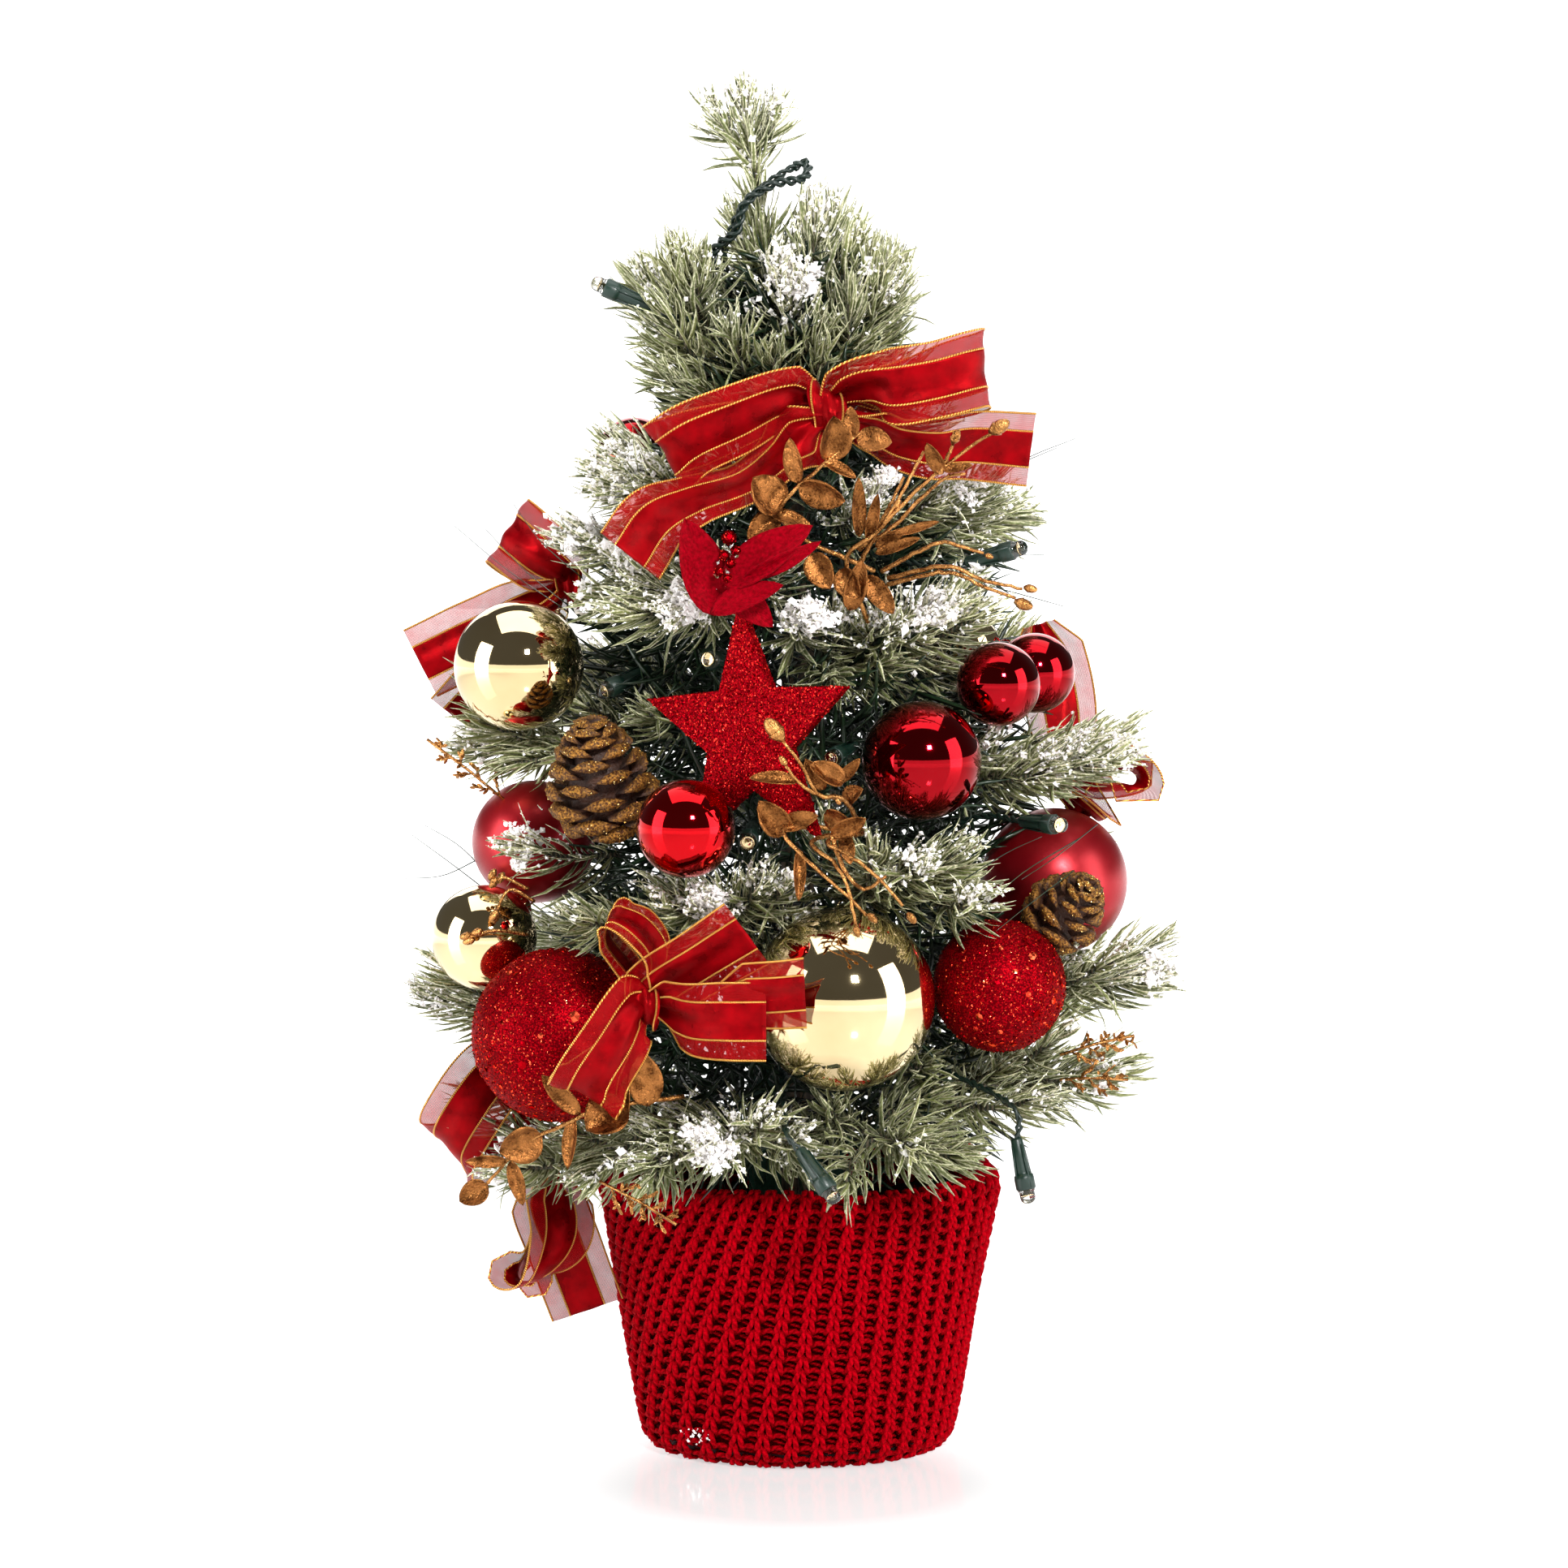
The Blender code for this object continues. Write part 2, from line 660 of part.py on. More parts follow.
# each lamp's lens end, and the bend in its lead
LAMPS = (
    ((-63, -10, POLE_TOP + 43), (-40, -22, POLE_TOP + 2)),
    ((69, -44, 210), (40, -24, 202)),
    ((83, -78, 124), (58, -46, 124)),
    ((8, -96, 9), (2, -70, 24)),
    ((73, -62, 12), (66, -56, 36)),
)



def stand_on_rim(stand_pieces):
    """Hangs everything but the pot's, box's and pole's own pieces on an empty at the rim."""
    rim = bpy.data.objects.new("tree_seat", None)
    TREE.objects.link(rim)
    rim.location = (0, 0, POT_HEIGHT * MM)
    for obj in set(bpy.data.objects) - stand_pieces - {rim}:
        obj.parent = rim


clear_scene()
TREE = collection("tabletop_tree")
CUTTERS = collection("cutters")
make_pot()
make_battery_box()
stand_pieces = set(bpy.data.objects)
pole = post("pole", POLE_R, POLE_FOOT, POT_HEIGHT + POLE_TOP, BROWN, segments=14)
stand_pieces.add(pole)
make_branches(pole)
make_leader()
for bauble in BAUBLES:
    make_bauble(*bauble)
make_cone("pine_cone_left", (-63, -67, 138), 40, 18, (0.25, 0.5, -0.8))
make_cone("pine_cone_right", (86, -54, 95), 30, 12, (0.6, -0.3, 0.75))
make_star_and_flower()
make_bows()
make_sprays()
make_light_string()
stand_on_rim(stand_pieces)
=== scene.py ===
import json
import math

import bpy
import numpy as np
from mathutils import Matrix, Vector


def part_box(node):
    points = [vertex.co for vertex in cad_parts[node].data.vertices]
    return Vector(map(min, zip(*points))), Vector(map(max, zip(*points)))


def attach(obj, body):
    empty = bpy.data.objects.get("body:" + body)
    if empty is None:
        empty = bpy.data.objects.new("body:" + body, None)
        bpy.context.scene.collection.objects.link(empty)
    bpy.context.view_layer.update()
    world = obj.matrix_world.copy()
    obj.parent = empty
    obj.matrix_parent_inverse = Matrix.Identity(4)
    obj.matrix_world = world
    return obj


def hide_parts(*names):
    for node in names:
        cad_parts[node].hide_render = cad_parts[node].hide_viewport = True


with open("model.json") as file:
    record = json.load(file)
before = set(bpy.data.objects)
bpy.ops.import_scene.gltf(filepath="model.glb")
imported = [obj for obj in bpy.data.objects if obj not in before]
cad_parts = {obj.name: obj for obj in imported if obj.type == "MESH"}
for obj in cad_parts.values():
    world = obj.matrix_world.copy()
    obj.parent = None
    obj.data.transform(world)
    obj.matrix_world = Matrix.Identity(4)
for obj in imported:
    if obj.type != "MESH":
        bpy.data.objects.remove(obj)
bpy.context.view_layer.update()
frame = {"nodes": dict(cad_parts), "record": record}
MM = 0.001
TURN = 2 * np.pi
GOLDEN = 2.39996  # the golden angle, in radians
RNG = np.random.default_rng(7)
bpy.context.scene.view_settings.view_transform = "Standard"

# ---------------------------------------------------------------- camera, lights and floor

CAMERA_AT = (-0.0045, -1.8, 0.36)
CAMERA_DOWN = 4.48  # degrees below level
LENS = 125.8
# Each light: name, place, aim, size in metres, watts.
LIGHTS = (
    ("softbox_left", (-1.3, -0.55, 0.5), (0, 0, 0.25), (0.7, 1.2), 16),
    ("softbox_right", (1.3, -0.55, 0.55), (0, 0, 0.25), (0.7, 1.2), 13),
    ("key", (0.5, -1.75, 1.2), (0, 0, 0.25), (0.26, 0.26), 44),
    ("softbox_top", (0.0, 0.0, 1.2), (0, 0, 0.2), (1.1, 0.9), 9),
    ("rim_back", (0.0, 1.3, 0.9), (0, 0, 0.2), (1.6, 0.8), 9),
)
STAGE_SIDES = 96


def in_scene(name, data):
    obj = bpy.data.objects.new(name, data)
    bpy.context.scene.collection.objects.link(obj)
    return obj


def make_camera():
    data = bpy.data.cameras.new("camera")
    data.lens = LENS
    data.sensor_width = 36
    camera = in_scene("camera", data)
    camera.location = CAMERA_AT
    camera.rotation_euler = (math.radians(90 - CAMERA_DOWN), 0, 0)
    bpy.context.scene.camera = camera


def make_lights():
    for name, at, aim, size, power in LIGHTS:
        data = bpy.data.lights.new(name, "AREA")
        data.shape = "RECTANGLE"
        data.size, data.size_y = size
        data.energy = power
        light = in_scene(name, data)
        light.location = at
        light.rotation_euler = (Vector(aim) - Vector(at)).to_track_quat("-Z", "Y").to_euler()
    world = bpy.data.worlds.new("studio")
    world.use_nodes = True
    background = world.node_tree.nodes["Background"]
    background.inputs["Color"].default_value = (0.95, 0.93, 0.9, 1)
    background.inputs["Strength"].default_value = 0.1
    bpy.context.scene.world = world


def stage_ring(name, line, material):
    """A round surface about the tree, from (radius, height) points."""
    turns = [TURN * k / STAGE_SIDES for k in range(STAGE_SIDES)]
    verts = [(r * math.cos(t), r * math.sin(t), z) for r, z in line for t in turns]
    mesh = bpy.data.meshes.new(name)
    mesh.from_pydata(verts, [], ring_faces(len(line), STAGE_SIDES)[0].tolist())
    mesh.shade_smooth()
    mesh.materials.append(material)
    ring = in_scene(name, mesh)
    return ring


def make_stage():
    """A white floor that glows except just before the pot, and a white surround behind everything."""
    floor = Nodes("floor_white", (0.4, 0.4, 0.4), 0.1, Emission_Color=(1, 1, 1, 1))
    before_pot = {0: floor.place(), 1: (0, -0.075, 0)}
    distance = floor.add("VectorMath", before_pot, operation="DISTANCE").outputs["Value"]
    floor.to_shader(floor.between(distance, 0.05, 0.1, 0.52, 0.97), "Emission Strength")
    stage_ring("floor", ((0.0001, 0), (0.2, 0), (0.6, 0), (1.5, 0), (6, 0)), floor.material)
    glow = Nodes("surround_white", (0.9, 0.9, 0.9), 0.9, Emission_Color=(1, 1, 1, 1), Emission_Strength=1.0)
    stage_ring("surround_low", ((6, 0), (6, 0.7)), glow.material)
    high = stage_ring("surround_high", ((6, 0.7), (5.4, 3.5), (3, 5.5), (0.001, 6)), glow.material)
    for way in ("glossy", "diffuse", "transmission", "shadow"):
        setattr(high, "visible_" + way, False)


# ---------------------------------------------------------------- material helpers


class Nodes:
    """A Principled material with short calls for the nodes that feed it."""

    def __init__(self, name, colour, roughness, metallic=0.0, **sockets):
        self.material = bpy.data.materials.new(name)
        self.material.use_nodes = True
        self.tree = self.material.node_tree
        self.shader = self.tree.nodes["Principled BSDF"]
        sockets |= {"Base Color": (*colour, 1), "Roughness": roughness, "Metallic": metallic}
        for socket, value in sockets.items():
            self.shader.inputs[socket.replace("_", " ")].default_value = value

    def feed(self, node, key, value):
        if isinstance(value, bpy.types.NodeSocket):
            self.tree.links.new(value, node.inputs[key])
        else:
            node.inputs[key].default_value = value

    def add(self, kind, inputs=(), **settings):
        node = self.tree.nodes.new("ShaderNode" + kind)
        for key, value in settings.items():
            setattr(node, key, value)
        for key, value in dict(inputs).items():
            self.feed(node, key, value)
        return node

    def to_shader(self, output, socket):
        self.tree.links.new(output, self.shader.inputs[socket])

    def place(self):
        return self.add("TexCoord").outputs["Object"]

    def noise(self, scale, detail=3.0, rough=0.5):
        keys = {"Vector": self.place(), "Scale": scale, "Detail": detail, "Roughness": rough}
        return self.add("TexNoise", keys).outputs["Fac"]

    def cells(self, scale, output):
        return self.add("TexVoronoi", {"Vector": self.place(), "Scale": scale}).outputs[output]

    def wave(self, output, **settings):
        return self.add("TexWave", {"Vector": self.place(), **settings}).outputs[output]

    def math(self, operation, first, second=0.0, clamp=False):
        return self.add("Math", {0: first, 1: second}, operation=operation, use_clamp=clamp).outputs[0]

    def plus(self, first, second):
        return self.math("ADD", first, second)

    def times(self, first, second):
        return self.math("MULTIPLY", first, second)

    def sine(self, value):
        return self.math("SINE", value)

    def off_middle(self, across):
        """How far the UV's U is from the middle."""
        return self.math("ABSOLUTE", self.math("SUBTRACT", across, 0.5))

    def ramp(self, value, *stops):
        """Colours along a value, each stop being (place, colour)."""
        node = self.add("ValToRGB", {"Fac": value})
        elements = node.color_ramp.elements
        while len(elements) < len(stops):
            elements.new(0.5)
        for element, (place, colour) in zip(elements, stops):
            element.position = place
            element.color = (*colour, 1)
        return node.outputs["Color"]

    def between(self, value, low, high, low_to=0.0, high_to=1.0):
        keys = {"Value": value, "From Min": low, "From Max": high, "To Min": low_to, "To Max": high_to}
        return self.add("MapRange", keys).outputs["Result"]

    def mix(self, share, first, second):
        """A mix of two colours, each a socket or three numbers."""
        node = self.add("Mix", data_type="RGBA")
        for index, value in ((0, share), (6, first), (7, second)):
            self.feed(node, index, (*value, 1) if isinstance(value, tuple) else value)
        return node.outputs[2]

    def bump(self, height, strength, distance, **more):
        keys = {"Height": height, "Strength": strength, "Distance": distance, **more}
        return self.add("Bump", keys).outputs["Normal"]

    def attribute(self, name):
        return self.add("Attribute", attribute_name=name).outputs["Fac"]

    def uv(self):
        """The two coordinates of the first UV map."""
        split = self.add("SeparateXYZ", {"Vector": self.add("UVMap").outputs["UV"]})
        return split.outputs["X"], split.outputs["Y"]

    def colours(self, value, dark, light, low=0.3, high=0.7):
        """Base colour from dark to light along a value."""
        self.to_shader(self.ramp(value, (low, dark), (high, light)), "Base Color")

    def roughness(self, value, smooth, rough, low=0.3, high=0.7):
        self.to_shader(self.between(value, low, high, smooth, rough), "Roughness")

    def relief(self, height, strength, distance):
        self.to_shader(self.bump(height, strength, distance), "Normal")


# ---------------------------------------------------------------- mesh helpers


class Soup:
    """Vertices and faces of many small shapes, with a UV for each corner and a number for each vertex."""

    def __init__(self):
        self.points, self.levels = [], []
        self.quads, self.tris, self.uvs = [np.zeros((0, 4), int)], [np.zeros((0, 3), int)], [np.zeros((0, 2))]
        self.count = 0

    def add(self, points, quads=(), tris=(), uv=None, level=0.0):
        """One shape, or more that follow one another. Only quads have a UV."""
        points = np.reshape(points, (-1, 3))
        quads = np.array(quads, int).reshape(-1, 4)
        self.quads.append(quads + self.count)
        self.tris.append(np.array(tris, int).reshape(-1, 3) + self.count)
        self.uvs.append(np.zeros((quads.size, 2)) if uv is None else uv.reshape(-1, 2))
        self.points.append(points)
        self.levels.append(np.broadcast_to(level, (len(points),)))
        self.count += len(points)

    def add_many(self, points, quads, tris, uv, level=0.0):
        """Many shapes with the same faces, their points as (shape, point, 3)."""
        starts = (np.arange(len(points)) * points.shape[1])[:, None, None]
        self.add(points, quads + starts, tris + starts, np.tile(uv, (len(points), 1, 1)), level)

    def mesh(self, name, smooth):
        points, quads, tris = (np.concatenate(rows) for rows in (self.points, self.quads, self.tris))
        uvs = np.concatenate([*self.uvs, np.zeros((tris.size, 2))])
        corners = np.concatenate([quads.ravel(), tris.ravel()])
        starts = np.concatenate([np.arange(len(quads)) * 4, quads.size + np.arange(len(tris)) * 3])
        mesh = bpy.data.meshes.new(name)
        mesh.vertices.add(len(points))
        mesh.vertices.foreach_set("co", points.astype(np.float32).ravel())
        mesh.loops.add(len(corners))
        mesh.loops.foreach_set("vertex_index", corners.astype(np.int32))
        mesh.polygons.add(len(starts))
        mesh.polygons.foreach_set("loop_start", starts.astype(np.int32))
        layer = mesh.uv_layers.new(name="surface")
        layer.data.foreach_set("uv", uvs.astype(np.float32).ravel())
        level = mesh.attributes.new("level", "FLOAT", "POINT")
        level.data.foreach_set("value", np.concatenate(self.levels).astype(np.float32))
        mesh.update(calc_edges=True)
        mesh.validate()
        mesh.polygons.foreach_set("use_smooth", np.full(len(mesh.polygons), smooth))
        return mesh

    def piece(self, name, material, slot, body="tree", smooth=True):
        obj = in_scene(name, self.mesh(name, smooth))
        obj.data.materials.append(MATERIALS[material])
        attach(obj, body)
        return obj


def ring_faces(rows, sides):
    """Quads and UVs of rings of points one after another, each ring closed."""
    i, j = np.meshgrid(np.arange(rows - 1), np.arange(sides), indexing="ij")
    k = (j + 1) % sides
    quads = np.stack([i * sides + j, i * sides + k, (i + 1) * sides + k, (i + 1) * sides + j], -1)
    corners = ((j, i), (j + 1, i), (j + 1, i + 1), (j, i + 1))
    uv = np.stack([np.stack([u / sides, v / (rows - 1)], -1) for u, v in corners], -2)
    return quads.reshape(-1, 4), uv.reshape(-1, 4, 2)


def cap_faces(rows, sides):
    """Triangles that close both ends of such rings, with one more point for each end after the rings' own."""
    rim = np.arange(sides)
    after = (rim + 1) % sides
    last, middle = (rows - 1) * sides, np.full(sides, rows * sides)
    ends = ((middle, after, rim), (middle + 1, last + rim, last + after))
    return np.vstack([np.stack(end, -1) for end in ends])


def fan_faces(rows, sides):
    """Triangles that close both ends of such rings with no more points."""
    rim = np.arange(1, sides - 1)
    fan = np.stack([0 * rim, rim + 1, rim], -1)
    return np.vstack([fan, (rows - 1) * sides + fan[:, [0, 2, 1]]])


def slab_faces(rows, cols):
    """Quads of a thin slab between two grids of points: its front, its back, then its edge."""
    i, j = np.meshgrid(np.arange(rows - 1), np.arange(cols - 1), indexing="ij")
    front = (i * cols + j).reshape(-1, 1) + (0, 1, cols + 1, cols)
    grid = np.arange(rows * cols).reshape(rows, cols)
    edge = np.concatenate([grid[0], grid[1:, -1], grid[-1, -2::-1], grid[-2:0:-1, 0]])
    after = np.roll(edge, -1)
    back = rows * cols
    return np.vstack([front, front[:, ::-1] + back, np.stack([after, edge, edge + back, after + back], -1)])


def unit(v):
    v = np.asarray(v, float)
    return v / np.maximum(np.linalg.norm(v, axis=-1, keepdims=True), 1e-12)


def along_path(path):
    """The distance of each point of a path from its start."""
    return np.concatenate([[0], np.cumsum(np.linalg.norm(np.diff(path, axis=0), axis=1))])


def on_path(wanted, along, path):
    """The places at wanted distances along a path, or its values there."""
    return np.stack([np.interp(wanted, along, path[:, k]) for k in range(path.shape[1])], -1)


def smooth_path(points, count):
    """A smooth curve through the points, as count points evenly spaced along it."""
    points = np.asarray(points, float)
    padded = np.vstack([2 * points[0] - points[1], points, 2 * points[-1] - points[-2]])
    t = np.linspace(0, 1, 24, endpoint=False)[:, None]
    fine = []
    for p0, p1, p2, p3 in zip(padded, padded[1:], padded[2:], padded[3:]):
        curve = (2 * p0 - 5 * p1 + 4 * p2 - p3) * t**2 + (3 * p1 - p0 - 3 * p2 + p3) * t**3
        fine.append(0.5 * (2 * p1 + (p2 - p0) * t + curve))
    fine = np.vstack([*fine, points[-1:]])
    along = along_path(fine)
    return on_path(np.linspace(0, along[-1], count), along, fine)


def frames(path, first=(0, 0, 1)):
    """Tangents and two cross directions along a path, turning as little as they can."""
    tangents = unit(np.gradient(path, axis=0))
    side = np.asarray(first, float)
    sides = []
    for t in tangents:
        side = side - t * (side @ t)
        if np.linalg.norm(side) < 1e-6:
            side = np.cross(t, (0.31, 0.77, 0.55))
        side = unit(side)
        sides.append(side)
    return tangents, np.array(sides), np.cross(tangents, sides)


def crosses(axis, hint):
    """Two directions square to an axis."""
    a = unit(np.cross(axis, hint))
    return a, np.cross(axis, a)


def circle(sides, a, b):
    """Directions all round, from a through b."""
    turn = np.linspace(0, TURN, sides, endpoint=False)[:, None]
    return np.cos(turn) * a + np.sin(turn) * b


def add_tube(soup, path, radii, sides):
    """A closed round tube along a path, with the UV's U round it and V along it."""
    path = np.asarray(path, float)
    n = len(path)
    _, a, b = frames(path)
    rings = circle(sides, a[:, None], b[:, None]) * np.broadcast_to(radii, (n,))[:, None, None]
    quads, uv = ring_faces(n, sides)
    points = (path[:, None] + rings).reshape(-1, 3)
    soup.add(np.vstack([points, path[[0, -1]]]), quads, cap_faces(n, sides), uv)


def add_copies(soup, points, faces, places, turns, scales, level=0.0):
    """Copies of one small shape of triangles: turns are 3x3, scales one number or three for each copy."""
    n, m = len(places), len(points)
    world = np.einsum("nij,nmj->nmi", turns, points * scales.reshape(n, 1, -1)) + places[:, None]
    moved = faces + (np.arange(n) * m)[:, None, None]
    soup.add(world, tris=moved, level=np.repeat(np.broadcast_to(level, (n,)), m))


def random_turns(n):
    """Random rotations, from random quaternions."""
    w, x, y, z = unit(RNG.normal(size=(n, 4))).T
    rows = (
        (1 - 2 * (y * y + z * z), 2 * (x * y - z * w), 2 * (x * z + y * w)),
        (2 * (x * y + z * w), 1 - 2 * (x * x + z * z), 2 * (y * z - x * w)),
        (2 * (x * z - y * w), 2 * (y * z + x * w), 1 - 2 * (x * x + y * y)),
    )
    return np.moveaxis(np.array(rows), -1, 0)


OCTA = np.array([(1, 0, 0), (-1, 0, 0), (0, 1, 0), (0, -1, 0), (0, 0, 1), (0, 0, -1)], float)
OCTA_UPPER = [(0, 2, 4), (2, 1, 4), (1, 3, 4), (3, 0, 4)]
OCTA_FACES = np.array([*OCTA_UPPER, *((b, a, 5) for a, b, _ in OCTA_UPPER)])


def node_points(node):
    """A CAD node's vertices at rest."""
    data = frame["nodes"][node].data
    points = np.empty(len(data.vertices) * 3, np.float32)
    data.vertices.foreach_get("co", points)
    return points.reshape(-1, 3).astype(float)


# ---------------------------------------------------------------- foliage

NEEDLE = 20 * MM
NEEDLE_WIDTH = 1.42 * MM
NEEDLE_RINGS = 5
NEEDLE_PROFILE = np.array([0.6, 0.95, 1.0, 0.86, 0.16])
# The UV's U at the four corners of each of a needle's three faces.
NEEDLE_U = ((0, 1, 1, 0), (1, 0.5, 0.5, 1), (0.5, 0, 0, 0.5))
TIP_NEEDLES = 12 * MM  # how far the last needles reach past the end of their wire
# Needles on a branch's tuft, on its side twigs and on a filling twig, and strips inside the tree.
TUFT_COUNT, TWIG_COUNT, FILL_COUNT, STRIP_COUNT = 84, 50, 62, 5600


def needle_material():
    """Cut film: deep green down the middle, frosted pale at its edges and white where it is flocked."""
    m = Nodes("needle_film", (0.1, 0.16, 0.08), 0.48)
    across, _ = m.uv()
    grain = m.noise(900, 2)
    edge = m.plus(m.off_middle(across), m.between(grain, 0.3, 0.7, -0.16, 0.16))
    level = m.attribute("level")
    frost = m.times(m.between(edge, 0.15, 0.42), m.between(level, 0.0, 0.5, 0.4, 1.0))
    greens = (0.3, (0.06, 0.08, 0.02)), (0.55, (0.14, 0.165, 0.045)), (0.8, (0.25, 0.26, 0.09))
    colour = m.mix(frost, m.ramp(m.noise(60, 2), *greens), (0.97, 0.93, 0.65))
    flock = m.times(m.between(grain, 0.42, 0.62), m.between(level, 0.55, 1.0))
    m.to_shader(m.mix(flock, colour, (0.95, 0.88, 0.78)), "Base Color")
    m.roughness(grain, 0.38, 0.62)
    ridge = m.sine(m.times(across, 40))
    m.relief(m.plus(m.times(ridge, 0.3), grain), 0.35, 0.0002)
    return m.material


def shaded_strip_material():
    # Near-black green, far darker than the needles' own film: painted shade for the deep inside of the tree.
    m = Nodes("strip_film_painted_shade", (0.02, 0.05, 0.02), 0.3)
    colours = ((0.3, (0.004, 0.01, 0.004)), (0.6, (0.012, 0.03, 0.012)), (0.85, (0.035, 0.055, 0.02)))
    m.to_shader(m.ramp(m.noise(45, 2), *colours), "Base Color")
    m.relief(m.noise(700), 0.2, 0.0002)
    return m.material


def stem_material():
    m = Nodes("stem_wire", (0.07, 0.06, 0.035), 0.7)
    twist = {"Scale": 220, "Distortion": 2}
    m.colours(m.wave("Color", **twist), (0.02, 0.03, 0.015), (0.1, 0.08, 0.05), 0.2, 0.8)
    m.relief(m.wave("Fac", **twist), 0.6, 0.0004)
    return m.material


def flock_material():
    softness = {"Subsurface_Weight": 0.15, "Subsurface_Radius": (MM, MM, MM)}
    m = Nodes("flock", (0.88, 0.88, 0.9), 0.85, **softness)
    grain = m.noise(1500, 2)
    m.colours(grain, (0.8, 0.77, 0.76), (0.97, 0.94, 0.92))
    m.relief(grain, 0.5, 0.0003)
    return m.material


def add_needles(soup, bases, away, bend_to, lengths, widths, curls, level):
    """Pointed blades of three-sided section that leave along away and curl towards bend_to."""
    n = len(bases)
    e1 = unit(away)[:, None]
    e2 = unit(bend_to[:, None] - e1 * np.sum(bend_to[:, None] * e1, axis=2, keepdims=True))
    across = np.cross(e1, e2)
    roll = RNG.normal(0, 0.7, n)[:, None, None]
    s = np.linspace(0, 1, NEEDLE_RINGS)
    c, size = curls[:, None], lengths[:, None]
    run, rise = np.sin(c * s) / c * size, (1 - np.cos(c * s)) / c * size
    middle = bases[:, None] + e1 * run[..., None] + e2 * rise[..., None]
    outward = -(-e1 * np.sin(c * s)[..., None] + e2 * np.cos(c * s)[..., None])
    side = across * np.cos(roll) + outward * np.sin(roll)
    back = outward * np.cos(roll) - across * np.sin(roll)
    half = (widths[:, None] / 2 * NEEDLE_PROFILE)[..., None]
    rings = np.stack([middle + side * half, middle - side * half, middle + back * half * 0.55], 2)
    quads, uv = ring_faces(NEEDLE_RINGS, 3)
    uv[..., 0] = np.tile(NEEDLE_U, (NEEDLE_RINGS - 1, 1))
    levels = level[:, None] * np.repeat(0.35 + 0.65 * s, 3)
    soup.add_many(rings.reshape(n, -1, 3), quads, fan_faces(NEEDLE_RINGS, 3), uv, levels.ravel())
    return middle


def add_chips(soup, places, size, spread):
    """Crumbs of flock at the places, each of them a ragged lump."""
    n = len(places)
    if n == 0:
        return
    ragged = OCTA * (1 + RNG.normal(0, 0.22, OCTA.shape))
    scales = size * np.exp(RNG.normal(0, 0.38, (n, 1))) * (1 + RNG.normal(0, 0.3, (n, 3)))
    centres = places + RNG.normal(0, spread, (n, 3))
    add_copies(soup, ragged, OCTA_FACES, centres, random_turns(n), np.abs(scales))


def between_rows(rows, spot, *which):
    """Values part of the way between two rows of a table, for spots counted in rows."""
    low = np.minimum(spot.astype(int), rows.shape[len(which)] - 2)
    part = (spot - low)[:, None]
    return rows[(*which, low)] * (1 - part) + rows[(*which, low + 1)] * part


class Foliage:
    """The needles, stems and flock of one body."""

    def __init__(self):
        self.needles, self.stems, self.flock = Soup(), Soup(), Soup()

    def twig(self, path, count, snow, length=NEEDLE, heap=0):
        """A wire with needles all round it, closing into a tuft at its tip."""
        tangents, a, b = frames(path, RNG.normal(size=3))
        t = ((np.arange(count) + RNG.uniform(0, 1, count)) / count) ** 0.82
        spot = t * (len(path) - 1)
        low = np.minimum(spot.astype(int), len(path) - 2)
        base = between_rows(path, spot)
        axis = unit(tangents[low])
        angle = (np.arange(count) * GOLDEN + RNG.normal(0, 0.25, count))[:, None]
        radial = np.cos(angle) * a[low] + np.sin(angle) * b[low]
        lean = np.radians(30 + 40 * t**2.2 + RNG.normal(0, 7, count))[:, None]
        away = radial * np.cos(lean) + axis * np.sin(lean)
        lengths = length * (1 - 0.28 * t**4) * RNG.normal(1, 0.1, count)
        curls = np.clip(RNG.normal(0.72, 0.22, count), 0.15, 1.5)
        bend = np.where(RNG.uniform(size=(count, 1)) < 0.95, axis, -axis) + RNG.normal(0, 0.2, (count, 3))
        facing_up = np.clip(away[:, 2] * 0.7 + 0.45 - away[:, 1] * 0.25, 0, 1)
        level = np.clip(snow * (0.35 + 0.75 * t) * (0.5 + facing_up) + RNG.normal(0, 0.12, count), 0, 1)
        widths = NEEDLE_WIDTH * RNG.normal(1, 0.14, count)
        middles = add_needles(self.needles, base, away, bend, lengths, widths, curls, level)
        add_tube(self.stems, path, 0.9 * MM, 6)
        self.settle(middles, level, heap, path[-1], axis[-1])

    def settle(self, middles, level, heap, tip, axis):
        """Flock on the needles where the level is high, and a heap of it in the tuft."""
        counts = RNG.poisson(np.clip((level - 0.42) * 1.9, 0, 1) * 11)
        which = np.repeat(np.arange(len(level)), counts)
        if len(which):
            spot = RNG.beta(2.2, 1.5, len(which)) * (NEEDLE_RINGS - 1)
            add_chips(self.flock, between_rows(middles, spot, which), 0.5 * MM, 0.3 * MM)
        if heap:
            lumps = tip + axis * 2 * MM + RNG.normal(0, 3.1 * MM, (max(4, heap // 26), 3)) + (0, 0, 1.2 * MM)
            centres = lumps[RNG.integers(0, len(lumps), int(heap * 1.5))]
            add_chips(self.flock, centres + RNG.normal(0, 1.3 * MM, (len(centres), 3)), 0.72 * MM, 0.2 * MM)

    def show(self, name, body, nodes=()):
        made = self.needles.piece(name + "_needles", "needle", "foliage", body)
        if nodes:
            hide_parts(*nodes)
        self.stems.piece(name + "_wires", "stem", "foliage", body)
        if self.flock.count:
            self.flock.piece(name + "_flock", "flock", "foliage", body, smooth=False)


def branch_ends(node):
    """Where a branch's wire starts beside the pole and where its tip is, from its CAD solid."""
    points = node_points(node)
    reach = np.hypot(points[:, 0], points[:, 1])
    root = points[reach < reach.min() + 2.5 * MM].mean(0)
    tip = points[reach > reach.max() - 2.5 * MM].mean(0)
    return root, tip


